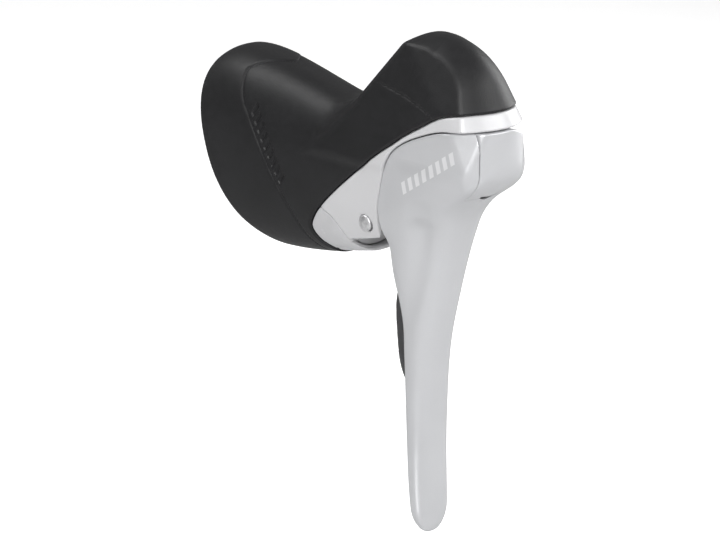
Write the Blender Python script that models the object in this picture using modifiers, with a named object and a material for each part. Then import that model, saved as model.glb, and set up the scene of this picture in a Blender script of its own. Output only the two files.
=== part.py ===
"""Right-hand brake and shift lever for a drop handlebar, as an assembly of separate parts.

The scene is in metres with +Z up. The rider faces -Y, so +X is inboard and -X outboard.
The origin is the point where the bracket's saddle touches the front of the handlebar.
Sizes are in millimetres and angles in degrees. A point is (out, fore, up): outboard (-X),
forward (-Y) and up (+Z). A point of the side view is (fore, up).
"""

import math

import bmesh
import bpy
import numpy as np
from mathutils import Matrix, Vector

MM = 0.001

# ---------- driving dimensions ----------
BAR_RADIUS = 12.0                      # handlebar at the clamp
BAR_DOWN = (0.375, -0.927)             # direction of the bar, downwards, as (fore, up)
LEVER_AXLE = (60.5, -20.5)             # brake lever axle, as (fore, up)
LEVER_AXLE_RADIUS = 2.8
SHIFT_POINT = (93.0, 1.5)              # a point on the shift axis, as (fore, up)
SHIFT_DIRECTION = (0.99112, -0.13296)  # direction of the shift axis, as (fore, up)
SHIFT_SWING = 20.0                     # swing of the main lever
FULL_SWING = SHIFT_SWING + 0.8         # the swing with some room beyond it
SHIFT_AXLE_RADIUS = 3.6
HOOD_WALL = 2.4
UNDER_HOOD = 2.9                       # how far the body sits below the surface under the hood
SKIN = 0.6                             # how far the hard parts sit below the hood's surface
GAP = 0.35                             # between parts along a dividing line
FIT = 0.25                             # room round a pin or an axle in its bore
DRUM_RADIUS = 9.4
DRUM_BORE = SHIFT_AXLE_RADIUS + 0.3    # also the bore of the plates beside the drum
PAWL_PIN_RADIUS = 1.0
PAWL_DISTANCE = 12.0                   # from the shift axis to a pawl pin
CUT_HALF = 40                          # half width of a cutter that goes right through
SHARP_ANGLE = 30                       # edges sharper than this are not smoothed

# Many cuts meet in these objects, and only the manifold solver keeps them closed.
CROWDED = {"bracket_body", "main_lever", "clamp_band", "lever_support", "nose_cap", "covered"}

# ---------- scene ----------
for old in list(bpy.data.objects):
    bpy.data.objects.remove(old, do_unlink=True)

PARTS = bpy.data.collections.new("brake_shift_lever")
CUTTERS = bpy.data.collections.new("cutters")
CUTTERS.hide_render = True
for group in (PARTS, CUTTERS):
    bpy.context.scene.collection.children.link(group)


def material(name, colour, roughness, metallic=0.0):
    made = bpy.data.materials.new(name)
    made.use_nodes = True
    shader = made.node_tree.nodes["Principled BSDF"]
    shader.inputs["Base Color"].default_value = (*colour, 1)
    shader.inputs["Roughness"].default_value = roughness
    shader.inputs["Metallic"].default_value = metallic
    made.diffuse_color = (*colour, 1)
    return made


RUBBER = material("hood_rubber", colour=(0.03, 0.03, 0.032), roughness=0.75)
SILVER = material("satin_silver", colour=(0.62, 0.62, 0.63), roughness=0.38, metallic=0.25)
RESIN = material("grey_resin", colour=(0.55, 0.55, 0.56), roughness=0.45)
STEEL = material("steel", colour=(0.48, 0.48, 0.5), roughness=0.3, metallic=1.0)
DARK_STEEL = material("dark_steel", colour=(0.12, 0.12, 0.13), roughness=0.4, metallic=1.0)
BRONZE = material("bush_bronze", colour=(0.55, 0.42, 0.2), roughness=0.4, metallic=1.0)
BLACK_RESIN = material("black_resin", colour=(0.05, 0.05, 0.055), roughness=0.5)


# ---------- frames ----------
INBOARD = Vector((1, 0, 0))
FORWARD = Vector((0, -1, 0))


def point(out, fore, up):
    return Vector((-out, -fore, up)) * MM


def axes_at(origin, x, y, z):
    matrix = Matrix((x, y, z)).transposed().to_4x4()
    matrix.translation = origin
    return matrix


def along_frame(origin, along):
    """x = inboard, z = the given direction."""
    return axes_at(origin, INBOARD, along.cross(INBOARD), along)


def cross_frame(fore, up):
    """x = forward, y = down, z = inboard, about a point of the mid plane."""
    return axes_at(point(0, fore, up), FORWARD, Vector((0, 0, -1)), INBOARD)


def placed(base, x=0.0, y=0.0, z=0.0, turn=0.0, about="Z"):
    shift = Matrix.Translation(Vector((x, y, z)) * MM)
    return base @ shift @ Matrix.Rotation(math.radians(turn), 4, about)


def polar(radius, angle, centre=(0, 0)):
    angle = math.radians(angle)
    return centre[0] + radius * math.cos(angle), centre[1] + radius * math.sin(angle)


def arc(radius, angles, centre=(0, 0)):
    return [polar(radius, angle, centre) for angle in angles]


def circle(radius, sides=24):
    return arc(radius, [360 * i / sides for i in range(sides)])


def shift_point(along, above):
    """The (fore, up) of a mid-plane point along the shift axis and above it."""
    fore, up = SHIFT_DIRECTION
    return (SHIFT_POINT[0] + fore * along - up * above, SHIFT_POINT[1] + up * along + fore * above)


WORLD = Matrix.Identity(4)
# x = forward, y = up, z = outboard
SIDE = axes_at(Vector((0, 0, 0)), FORWARD, Vector((0, 0, 1)), -INBOARD)
# x = inboard, y = up, z = forward along the shift axis
SHIFT = along_frame(point(0, *SHIFT_POINT),
                    Vector((0, -SHIFT_DIRECTION[0], SHIFT_DIRECTION[1])).normalized())
AXLE = cross_frame(*LEVER_AXLE)
UP_BAR = Vector((0, BAR_DOWN[0], -BAR_DOWN[1])).normalized()
OFF_BAR = Vector((0, BAR_DOWN[1], BAR_DOWN[0])).normalized()
# On the bar's axis: x = forward and square to the bar, y = inboard, z = up the bar
BAR = axes_at(-OFF_BAR * BAR_RADIUS * MM, OFF_BAR, UP_BAR.cross(OFF_BAR), UP_BAR)
BOLT_OUT = 11.6                                           # clamp bolt, outboard of the mid plane
BOLT = placed(BAR, y=-BOLT_OUT, turn=90, about="Y")       # z = forward along the bolt
COVER_SCREW = placed(WORLD, y=-42)                        # upright, in the mid plane
SET_SCREW = placed(WORLD, x=13.8, y=-LEVER_AXLE[0])       # upright, over the axle
HOOK_FRAME = cross_frame(66.5, -3.5)
REACH_FRAME = placed(SHIFT, y=11.8)
NOSE_SCREW = placed(SIDE, 107.6, 12.6)


def pawl_frame(angle):
    """A pawl's pin at this angle round the shift axis; y points away from the axis."""
    return placed(SHIFT, *polar(PAWL_DISTANCE, angle), turn=angle - 90)


HOLD_FRAME = pawl_frame(112)
PULL_FRAME = pawl_frame(55)


# ---------- makers ----------
# An object without a material is a hidden cutter.
def hold(obj, base, parent):
    if parent is not None:
        obj.parent = parent
        obj.matrix_parent_inverse = Matrix(parent["at"]).inverted()
    obj.matrix_basis = base


def pivot(name, base, parent=None):
    empty = bpy.data.objects.new(name, None)
    empty.empty_display_size = 0.01
    PARTS.objects.link(empty)
    empty["at"] = [list(line) for line in base]
    hold(empty, base, parent)
    return empty


def put(name, mesh, mat=None, base=WORLD, parent=None):
    obj = bpy.data.objects.new(name, mesh)
    if mat is None:
        CUTTERS.objects.link(obj)
        obj.hide_render = True
        obj.display_type = "WIRE"
    else:
        PARTS.objects.link(obj)
        mesh.materials.append(mat)
    hold(obj, base, parent)
    return obj


def boolean(part, tool, how="DIFFERENCE"):
    modifier = part.modifiers.new(tool.name[:50], "BOOLEAN")
    modifier.operation = how
    modifier.solver = "MANIFOLD" if part.name in CROWDED else "EXACT"
    modifier.object = tool


def plate_mesh(name, outlines, bottom, top):
    """A flat outline, with holes, as a filled 2D curve turned into a mesh."""
    curve = bpy.data.curves.new(name, "CURVE")
    curve.dimensions = "2D"
    curve.fill_mode = "BOTH"
    curve.extrude = (top - bottom) / 2 * MM
    for outline in outlines:
        line = curve.splines.new("POLY")
        line.points.add(len(outline) - 1)
        for corner, (x, y) in zip(line.points, outline):
            corner.co = (x * MM, y * MM, 0, 1)
        line.use_cyclic_u = True
    holder = bpy.data.objects.new(name, curve)
    bpy.context.scene.collection.objects.link(holder)
    evaluated = holder.evaluated_get(bpy.context.evaluated_depsgraph_get())
    mesh = bpy.data.meshes.new_from_object(evaluated)
    bpy.data.objects.remove(holder)
    bm = bmesh.new()
    bm.from_mesh(mesh)
    bmesh.ops.remove_doubles(bm, verts=bm.verts, dist=1e-6)
    bmesh.ops.translate(bm, verts=bm.verts, vec=(0, 0, (bottom + top) / 2 * MM))
    bmesh.ops.recalc_face_normals(bm, faces=bm.faces)
    bm.to_mesh(mesh)
    bm.free()
    return mesh


def plate(name, outlines, bottom, top, mat=None, base=SIDE, parent=None):
    return put(name, plate_mesh(name, outlines, bottom, top), mat, base, parent)


def bmesh_object(name, bm, mat, base, parent):
    mesh = bpy.data.meshes.new(name)
    bm.to_mesh(mesh)
    bm.free()
    return put(name, mesh, mat, base, parent)


def drum(name, radius, bottom, top, mat=None, base=WORLD, parent=None, sides=24):
    """A cylinder about z."""
    bm = bmesh.new()
    bmesh.ops.create_cone(bm, cap_ends=True, segments=sides, radius1=radius * MM,
                          radius2=radius * MM, depth=(top - bottom) * MM)
    bmesh.ops.translate(bm, verts=bm.verts, vec=(0, 0, (bottom + top) / 2 * MM))
    return bmesh_object(name, bm, mat, base, parent)


def block(name, low, high, mat=None, base=WORLD, parent=None):
    """A box between two corners."""
    bm = bmesh.new()
    bmesh.ops.create_cube(bm, size=1)
    bmesh.ops.scale(bm, verts=bm.verts, vec=[(b - a) * MM for a, b in zip(low, high)])
    bmesh.ops.translate(bm, verts=bm.verts, vec=[(a + b) / 2 * MM for a, b in zip(low, high)])
    return bmesh_object(name, bm, mat, base, parent)


def side_cut(part, name, outline, half=CUT_HALF, how="DIFFERENCE"):
    """Cut with an outline of the side view."""
    boolean(part, plate(name, [outline], -half, half), how)


def drum_cut(part, name, radius, bottom, top, base=WORLD, sides=24, how="DIFFERENCE"):
    boolean(part, drum(name, radius, bottom, top, base=base, sides=sides), how)


def block_cut(part, name, low, high, base=WORLD, how="DIFFERENCE"):
    boolean(part, block(name, low, high, base=base), how)


def turned(name, profile, mat, base, parent=None, steps=24, ring=False):
    """A profile of (radius, height) turned about z. It runs down the outer side;
    a ring's profile closes on itself."""
    mesh = bpy.data.meshes.new(name)
    count = len(profile)
    edges = [(i, i + 1) for i in range(count - 1)] + ([(count - 1, 0)] if ring else [])
    mesh.from_pydata([(radius * MM, 0, z * MM) for radius, z in profile], edges, [])
    obj = put(name, mesh, mat, base, parent)
    screw = obj.modifiers.new("turn", "SCREW")
    screw.axis = "Z"
    screw.steps = screw.render_steps = steps
    screw.use_merge_vertices = True
    screw.merge_threshold = 0.00001
    return obj


def tube_ring(name, inner, outer, bottom, top, mat, base, parent):
    profile = [(outer, top), (outer, bottom), (inner, bottom), (inner, top)]
    turned(name, profile, mat, base, parent, ring=True)


def wire(name, points, radius, base, parent=None):
    curve = bpy.data.curves.new(name, "CURVE")
    curve.dimensions = "3D"
    curve.bevel_depth = radius * MM
    curve.bevel_resolution = 2
    curve.use_fill_caps = True
    line = curve.splines.new("POLY")
    line.points.add(len(points) - 1)
    for knot, place in zip(line.points, points):
        knot.co = (*(Vector(place) * MM), 1)
    obj = bpy.data.objects.new(name, curve)
    PARTS.objects.link(obj)
    curve.materials.append(STEEL)
    hold(obj, base, parent)


def coil(radius, bottom, top, turns, start, per_turn):
    count = int(round(turns * per_turn))
    return [(*polar(radius, start + 360 * turns * i / count), bottom + (top - bottom) * i / count)
            for i in range(count + 1)]


# ---------- flat lines ----------
LINE_STEPS = 4      # pieces between two points of a smooth line


def unit_left(tangents):
    """Unit vectors to the left of each tangent."""
    left = np.stack([-tangents[:, 1], tangents[:, 0]], 1)
    return left / np.linalg.norm(tangents, axis=1)[:, None]


def strip(points, half):
    """The outline of a strip of even thickness about a centre line."""
    points = np.array(points, float)
    left = unit_left(np.diff(points, axis=0))
    mitres = left[:-1] + left[1:]
    mitres /= np.linalg.norm(mitres, axis=1)[:, None]
    mitres /= np.maximum(0.5, (mitres * left[:-1]).sum(axis=1))[:, None]
    offsets = half * np.vstack([left[:1], mitres, left[-1:]])
    return [tuple(p) for p in np.concatenate([points + offsets, (points - offsets)[::-1]])]


def smooth_line(points):
    """A Catmull-Rom line through the points."""
    ends = np.array(points, float)
    ends = np.vstack([2 * ends[0] - ends[1], ends, 2 * ends[-1] - ends[-2]])
    line = []
    for before, start, end, after in zip(ends, ends[1:], ends[2:], ends[3:]):
        for i in range(LINE_STEPS):
            t = i / LINE_STEPS
            square = (2 * before - 5 * start + 4 * end - after) * t * t
            cube = (3 * start - before - 3 * end + after) * t**3
            line.append(0.5 * (2 * start + (end - before) * t + square + cube))
    line.append(ends[-2])
    return np.array(line)


def shifted(line, by):
    """The line moved to its left by this much."""
    return line + unit_left(np.gradient(line, axis=0)) * by


def closed(line, *corners):
    """An outline of the line and then these corners."""
    return [tuple(p) for p in line] + list(corners)


# Dividing lines, seen from the side as (fore, up).
# The hood's lower and front edge; the hood is on its left.
TRIM = smooth_line([
    (48, -62), (42.5, -44), (37.8, -36.9), (33.8, -33.4), (31.7, -29.2), (32.6, -25.6),
    (37.2, -19.7), (44.6, -12.6), (54.7, -4.1), (61.7, 1.2), (68.4, 6.2), (74.6, 10.4),
    (80.6, 14.6), (87.4, 18.5), (92.7, 21.5), (97.5, 23.7), (104, 25.1), (110, 25.7), (130, 27)])
# The hood's rear edge; the hood is on its right.
RIM = smooth_line([
    (62, -65), (33, -51), (18, -46), (7, -41.8), (-6.4, -32.4), (-16.6, -18.4), (-22.8, -3),
    (-25.8, 12), (-24.5, 22), (-19, 30), (-12, 40)])
# The bracket is on its left and the lever on its right.
SPLIT = smooth_line([
    (70, -60), (71, -44), (70.8, -34), (69.7, -28.5), (68.1, -23.5), (66.9, -18), (67.4, -12),
    (68.4, -7.2), (69.6, -2), (71.6, 3.6), (74.8, 8.2), (80, 12.0), (87.3, 15.4), (96, 18.4),
    (104, 19.6), (112, 20.2), (130, 20.8)])
# The bracket's lower edge; the under cover is on its right.
EAR = smooth_line([
    (30, -14), (38.7, -19.8), (43.3, -22.0), (47.0, -26.1), (49.6, -30.6), (54, -32.9),
    (59, -32.6), (63.0, -29.6), (65.4, -25.8), (66.4, -20.5), (67.5, -14)])


# ---------- smooth fields that give the outer form; negative inside ----------
def spline(places, heights):
    """A natural cubic through the points, straight outside them."""
    knots, values = np.array(places, float), np.array(heights, float)
    count, gaps = len(knots), np.diff(knots)
    slopes = np.diff(values) / gaps
    system, right_side = np.zeros((count, count)), np.zeros(count)
    system[0, 0] = system[-1, -1] = 1
    for i in range(1, count - 1):
        system[i, i - 1:i + 2] = gaps[i - 1], 2 * (gaps[i - 1] + gaps[i]), gaps[i]
        right_side[i] = 6 * (slopes[i] - slopes[i - 1])
    bends = np.linalg.solve(system, right_side)
    first_slope = slopes[0] - gaps[0] * bends[1] / 6
    last_slope = slopes[-1] + gaps[-1] * bends[-2] / 6

    def value_at(place):
        place = np.asarray(place, float)
        i = np.clip(np.searchsorted(knots, place) - 1, 0, count - 2)
        kept, gap = np.clip(place, knots[0], knots[-1]), gaps[i]
        left, right = (knots[i + 1] - kept) / gap, (kept - knots[i]) / gap
        bulge = (left**3 - left) * bends[i] + (right**3 - right) * bends[i + 1]
        before = np.where(place < knots[0], (place - knots[0]) * first_slope, 0)
        after = np.where(place > knots[-1], (place - knots[-1]) * last_slope, 0)
        return left * values[i] + right * values[i + 1] + bulge * gap * gap / 6 + before + after

    return value_at


def soft_min(a, b, blend):
    overlap = np.maximum(blend - np.abs(a - b), 0) / blend
    return np.minimum(a, b) - overlap * overlap * blend / 4


def soft_max(a, b, blend):
    return -soft_min(-a, -b, blend)


def plane(normal, through):
    """The distance beyond a plane, as a function of a point; both given as (out, fore, up)."""
    unit = np.array(normal, float) / np.linalg.norm(normal)

    def distance(out, fore, up):
        return ((out - through[0]) * unit[0] + (fore - through[1]) * unit[1]
                + (up - through[2]) * unit[2])

    return distance


def oval(x, y, half_x, half_y, power, reach):
    """About the distance from a superellipse, limited by reach near its middle."""
    x, y = np.abs(x / half_x), np.abs(y / half_y)
    ratio = (x**power + y**power) ** (1 / power)
    slope = np.hypot(x ** (power - 1) / half_x, y ** (power - 1) / half_y)
    slope = slope * np.maximum(ratio, 1e-6) ** (1 - power)
    return (ratio - 1) / np.maximum(slope, 1 / reach)


def both_sides(out):
    """The distance from the mid plane, rounded off across it."""
    return np.sqrt(out * out + 0.6)


# The grip along fore: its half width, top and bottom.
GRIP_HALF_WIDTH = spline(
    [-26, -14, 0, 14, 28, 42, 60, 80, 100, 120],
    [20.6, 20.8, 20.0, 18.4, 17.2, 16.6, 16.4, 16.2, 16.0, 15.5])
GRIP_TOP = spline(
    [-28, -18, -8, 4, 16, 28, 38, 47, 56, 70, 90, 120],
    [26.0, 28.0, 27.9, 26.2, 23.9, 21.3, 19.4, 18.9, 19.2, 20.0, 19, 16])
GRIP_BOTTOM = spline(
    [-26, -10, 6, 20, 32, 45, 60, 72, 90, 120],
    [-44, -44, -43, -41.8, -40.0, -37.4, -33.6, -29.5, -20, -12])
GRIP_FRONT = 96


def grip(out, fore, up):
    top, bottom = GRIP_TOP(fore), GRIP_BOTTOM(fore)
    middle, half_height = (top + bottom) / 2, (top - bottom) / 2
    return oval(out, up - middle, GRIP_HALF_WIDTH(fore), half_height, power=2.5, reach=60)


BROW_CENTRE = (82.5, 20.4)      # (fore, up)
BROW_RADIUS = 27.0
BROW_TURN = 1.0505              # radians of the round before the straight part
BROW_NORMAL = (0.868, 0.497)    # of the straight part, as (fore, up)


def brow(fore, up):
    """The horn's side profile: level on top, round in front, then straight and leaning back."""
    x, y = fore - BROW_CENTRE[0], up - BROW_CENTRE[1]
    turn = np.arctan2(x, y)
    straight = BROW_NORMAL[0] * x + BROW_NORMAL[1] * y - BROW_RADIUS
    front = np.where(turn > BROW_TURN, straight, np.hypot(x, y) - BROW_RADIUS)
    return np.where(turn < 0, y - BROW_RADIUS, front)


HORN_FLANK = plane((0.981, -0.04, 0.193), (15.2, 94.3, 25.3))
HORN_FACET = plane((0.89, 0.20, 0.41), (12.0, 78.5, 42.8))
HORN_REAR = plane((0, -0.75, 0.66), (0, 60.2, 30))
HORN_HALF_WIDTH = 16.4
HORN_FRONT = 115.3
HORN_BASE = 2


def horn(out, fore, up):
    side = both_sides(out)
    crown = np.clip(48.1 - 0.62 * up, 19, 36) + 1.5 * np.clip(88 - fore, 0, 14)
    form = HORN_FLANK(side, fore, up)
    form = soft_max(form, side - HORN_HALF_WIDTH, 3)
    form = soft_max(form, HORN_FACET(side, fore, up), 1.2)
    form = soft_max(form, brow(fore, up) + out * out / crown, 1.2)
    form = soft_max(form, fore - HORN_FRONT + out * out / 36, 1.0)
    form = soft_max(form, HORN_REAR(out, fore, up), 4)
    return soft_max(form, HORN_BASE - up, 2)


def envelope(out, fore, up):
    # a wide fillet on top, a tight one down the flanks
    fillet = 11 - 8 * np.clip((np.abs(out) - 9) / 6.5, 0, 1)
    return soft_min(soft_max(grip(out, fore, up), fore - GRIP_FRONT, 6), horn(out, fore, up), fillet)


HEAD_FLANK = plane((1, 0.0426, 0), (15.0, 101.5, 10))
HEAD_FACET = plane((0.862, 0.457, 0.221), (15.0, 101.5, 16.4))
HEAD_CHIN = plane((0, 0.94, -0.34), (0, 113.3, 7.0))
HEAD_JAW = plane((0.30, 0.50, -0.81), (15, 80, -19))
HEAD_CHAMFER = plane((0, 0.504, -0.864), (0, 109.4, -2.6))
HEAD_HALF_WIDTH = 16.0
HEAD_FRONT = 113.5
HEAD_REAR = 58


def head(out, fore, up):
    """The lever's head: flanks, a facet each side, a nearly flat front and its lower chamfer."""
    side = both_sides(out)
    form = soft_max(side - HEAD_HALF_WIDTH, HEAD_FLANK(side, fore, up), 1.0)
    form = soft_max(form, HEAD_FACET(side, fore, up), 1.0)
    form = soft_max(form, fore - HEAD_FRONT + out * out / 40, 1.2)
    form = soft_max(form, HEAD_CHIN(out, fore, up), 1.5)
    form = soft_max(form, HEAD_JAW(side, fore, up), 8)
    form = soft_max(form, HEAD_CHAMFER(out, fore, up), 5)
    return soft_max(form, HEAD_REAR - fore, 2)


# Sections of the blade: up, centre fore, centre out, half depth, half width.
BLADE_SECTIONS = [
    (-130, 94, 13.5, 3.4, 6.4), (-118, 89.5, 10.6, 3.8, 7.8),
    (-100, 84.5, 7.0, 4.4, 8.2), (-80, 81.2, 4.2, 5.3, 8.5),
    (-60, 79.6, 2.4, 6.8, 9.2), (-45, 79.0, 1.4, 9.4, 11.0),
    (-31, 78.0, 0.6, 12.8, 13.4), (-20, 79.5, 0.2, 14.6, 14.2),
    (-8, 83, 0, 15.6, 14.4), (4, 86, 0, 16.5, 14),
]
BLADE_UPS, *BLADE_COLUMNS = zip(*BLADE_SECTIONS)
BLADE_FORE, BLADE_OUT, BLADE_HALF_DEPTH, BLADE_HALF_WIDTH = (
    spline(BLADE_UPS, column) for column in BLADE_COLUMNS)
BLADE_TIP = -126.5
TIP_START = -118        # the blade narrows to its rounded tip below this
BLADE_TOP = 2


def blade(out, fore, up):
    past = np.maximum(-(up - TIP_START) / (TIP_START - BLADE_TIP), 0)
    taper = np.sqrt(np.clip(1 - past**2, 0.02, 1))
    form = oval(out - BLADE_OUT(up), fore - BLADE_FORE(up), BLADE_HALF_WIDTH(up) * taper,
                BLADE_HALF_DEPTH(up) * taper, power=2.3, reach=30)
    return soft_max(form, up - BLADE_TOP, 4)


def lever_form(out, fore, up):
    return soft_min(head(out, fore, up), blade(out, fore, up), 5)


CAVITY_WALL = 1.9
CAVITY_FRONT = plane((0, *SHIFT_DIRECTION), (0, *shift_point(5.6, 0)))


def cavity_form(out, fore, up):
    return soft_max(head(out, fore, up) + CAVITY_WALL, CAVITY_FRONT(out, fore, up), 1.0)


# ---------- lofts: rings found by casting rays out of each section's centre ----------
RAY_LENGTH = 75.0
RAY_HALVINGS = 34


def cast(field, ray):
    """Where each ray leaves the field; ray(distance) gives points as three arrays."""
    near = np.zeros(len(ray(0.0)[0]))
    far = near + RAY_LENGTH
    for _ in range(RAY_HALVINGS):
        middle = (near + far) / 2
        inside = field(*ray(middle)) < 0
        near, far = np.where(inside, middle, near), np.where(inside, far, middle)
    return np.stack(ray((near + far) / 2), 1)


def loft_mesh(name, rings):
    """Quads between rings of (out, fore, up) points, with a face at each end."""
    mesh = bpy.data.meshes.new(name)
    bm = bmesh.new()
    rings = [[bm.verts.new(point(*place)) for place in ring] for ring in rings]
    count = len(rings[0])
    for this, following in zip(rings, rings[1:]):
        for i in range(count):
            j = (i + 1) % count
            bm.faces.new((this[i], this[j], following[j], following[i]))
    bm.faces.new(rings[0])
    bm.faces.new(rings[-1])
    bmesh.ops.recalc_face_normals(bm, faces=bm.faces)
    bm.to_mesh(mesh)
    bm.free()
    return mesh


# Ray angles of a body section, closer together near its shoulders and the same on both sides.
HALF_ANGLES = np.radians([-90, -75, -60, -45, -30, -15, 0, 14, 26, 36, 44, 51, 58, 65, 73, 82])
BODY_ANGLES = np.concatenate([HALF_ANGLES, math.pi - HALF_ANGLES, [math.pi / 2]])
BODY_ANGLES = np.unique(np.round(BODY_ANGLES % (2 * math.pi), 9))
BODY_STATIONS = [-33, -28, -22, -15, -7, 2, 11, 20, 29, 38, 45, 51, 56, 60, 64, 68, 73, 78, 83,
                 88, 93, 98, 103, 107, 110, 112.4]
BODY_CENTRE = spline([-34, 0, 40, 60, 75, 90, 102, 114], [-8, -8, -8, -4, 6, 13, 13.5, 12])


def body_loft(name, inset, first=BODY_STATIONS[0], last=BODY_STATIONS[-1]):
    """The bracket's envelope, drawn in by the inset, between two stations."""

    def depth(fore):
        return float(envelope(0.0, fore, float(BODY_CENTRE(fore)))) + inset

    def field(out, fore, up):
        return envelope(out, fore, up) + inset

    stations = [fore for fore in BODY_STATIONS
                if first - 1e-6 <= fore <= last + 1e-6 and depth(fore) < -1.2]
    if last > 100:      # one more ring just inside the front
        near, far = stations[-1], stations[-1] + 6.0
        for _ in range(24):
            middle = (near + far) / 2
            near, far = (middle, far) if depth(middle) < -0.6 else (near, middle)
        stations.append(near)
    cosines, sines = np.cos(BODY_ANGLES), np.sin(BODY_ANGLES)
    rings = []
    for fore in stations:
        centre = float(BODY_CENTRE(fore))
        level = np.full(len(BODY_ANGLES), float(fore))
        rings.append(cast(field, lambda reach: (reach * cosines, level, centre + reach * sines)))
    return loft_mesh(name, rings)


def upright_loft(name, field, heights, centre, count, turn):
    """Level sections, one above the other, each cast from centre(up) = (out, fore)."""
    angles = np.radians(turn + 360 * np.arange(count) / count)
    cosines, sines = np.cos(angles), np.sin(angles)
    rings = []
    for up in heights:
        out, fore = centre(up)
        level = np.full(count, float(up))
        rings.append(cast(field, lambda reach: (out + reach * cosines, fore + reach * sines, level)))
    return loft_mesh(name, rings)


# ---------- pivots ----------
BRAKE = pivot("brake_pivot", AXLE)
HOOK = pivot("hook_pivot", HOOK_FRAME, BRAKE)
REACH = pivot("reach_slide", REACH_FRAME, BRAKE)
DRUM = pivot("drum_pivot", SHIFT, BRAKE)
HOLD = pivot("holding_pawl_pivot", HOLD_FRAME, BRAKE)
MAIN = pivot("main_lever_pivot", SHIFT, BRAKE)
PULL = pivot("pull_pawl_pivot", PULL_FRAME, MAIN)
RELEASE = pivot("release_pivot", SHIFT, MAIN)

# ================= the bracket and what is fixed to it =================
# Cable casings: name and place of the seat as (out, fore, up).
CASINGS = [("brake", (7.0, 24, 11.9)), ("shift", (-7.0, 24, 10.9))]
CASING_DIRECTION = Vector((0, 0.9569, 0.2904))      # rearwards and up


def casing_frame(place):
    return along_frame(point(*place), CASING_DIRECTION)


def make_hood():
    hood = put("rubber_hood", body_loft("rubber_hood", 0.0), RUBBER)
    boolean(hood, put("hood_inner", body_loft("hood_inner", HOOD_WALL)))
    side_cut(hood, "below_trim", closed(TRIM, (170, 27.5), (170, -160), (38, -160)))
    behind_rim = closed(RIM, (-12, 90), (-90, 90), (-90, -90), (62, -90))
    side_cut(hood, "behind_rim", behind_rim)


def bracket_form():
    """The moulded body: full size where it shows, and thinner where the hood covers it."""
    seam = [tuple(p) for p in shifted(TRIM, -GAP)[::-1] if p[1] > -17.4]
    seam += [tuple(p) for p in EAR[:19] if p[0] > 37.4]
    seam += [(60.6, -90), (-90, -90), (-90, 90), (130, 90)]
    covered = plate("covered", [seam], -39, 39)
    boolean(covered, put("core", body_loft("core", UNDER_HOOD)))
    bracket = put("bracket_body", body_loft("bracket_body", SKIN), SILVER)
    boolean(bracket, covered)
    side_cut(bracket, "lever_side", closed(SPLIT, (170, 20.8), (170, -170), (66, -170)))
    ear_nose = closed(EAR[16:], (90, -14), (90, -70), (52, -70))
    side_cut(bracket, "ear_nose", ear_nose, half=37)
    return bracket


def cut_bar_saddle(bracket):
    block_cut(bracket, "behind_bar", (-60, -40, -80), (3.0, 40, 80), BAR)
    sides = 32      # the flats touch the bar
    drum_cut(bracket, "bar_space", BAR_RADIUS / math.cos(math.pi / sides), -90, 90,
             placed(BAR, turn=180 / sides), sides)
    rear_trim = [(-60, -90), (-60, 60), (-9, 60), (-9, 18), (-3, -2), (12, -37), (12, -90)]
    side_cut(bracket, "rear_trim", rear_trim)


def cut_lever_space(bracket):
    """Space for the lever's arms and the cable hook, the hollow horn and the axle's bore."""
    block_cut(bracket, "arm_space", (50, -60, -11.6), (78, 8, 11.6), SIDE)
    hollow = put("horn_hollow", body_loft("horn_hollow", 5.2, first=68))
    hollow_part = [(70.2, 5), (120, 5), (120, 60), (70.2, 60)]
    side_cut(hollow, "hollow_part", hollow_part, how="INTERSECT")
    boolean(bracket, hollow)
    drum_cut(bracket, "axle_bore", LEVER_AXLE_RADIUS + FIT, -40, 40, AXLE)
    drum_cut(bracket, "axle_recess", 3.6, -19, -15.2, AXLE)


def cut_clamp_pockets(bracket):
    """Pockets for the clamp band, its nut and its bolt."""
    block_cut(bracket, "nut_pocket", (-20, -19, -7.7), (13.2, -8.0, 7.7), BAR)
    block_cut(bracket, "hook_slot", (-20, 11.7, -7.7), (11.8, 13.7, 7.7), BAR)
    block_cut(bracket, "hook_catch", (9.4, 11.7, -7.7), (11.8, 18.5, 7.7), BAR)
    drum_cut(bracket, "bolt_bore", 2.9, 0, 30, BOLT, 16)
    drum_cut(bracket, "bolt_head_bore", 3.4, 24.6, 60, BOLT, 16)
    block_cut(bracket, "bolt_side", (24.9, -22, -3.0), (48, -BOLT_OUT + 0.4, 3.0), BAR)


def make_bracket():
    bracket = bracket_form()
    cut_bar_saddle(bracket)
    cut_lever_space(bracket)
    cut_clamp_pockets(bracket)
    for name, place in CASINGS:
        drum_cut(bracket, name + "_casing_bore", 3.1, 0, 60, casing_frame(place), 16)
        drum_cut(bracket, name + "_wire_bore", 1.3, -45, 5, casing_frame(place), 12)
    drum_cut(bracket, "cover_screw_hole", 1.5, -60, -28, COVER_SCREW, 12)
    drum_cut(bracket, "cover_screw_seat", COVER_SCREW_BORE, -60, -34.0, COVER_SCREW, 16)
    drum_cut(bracket, "set_screw_hole", 1.7, -50, LEVER_AXLE[1] - 1, SET_SCREW, 12)


def make_casing_stops():
    profile = [(2.8, 8), (2.8, 0.3), (1.0, 0.3), (1.0, 2.0), (2.2, 2.0), (2.2, 8)]
    for name, place in CASINGS:
        turned(name + "_casing_stop", profile, DARK_STEEL, casing_frame(place), steps=20, ring=True)


COVER_SCREW_BORE = 2.7
COVER_REACH = {"first": 20, "last": 78}      # fore


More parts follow.
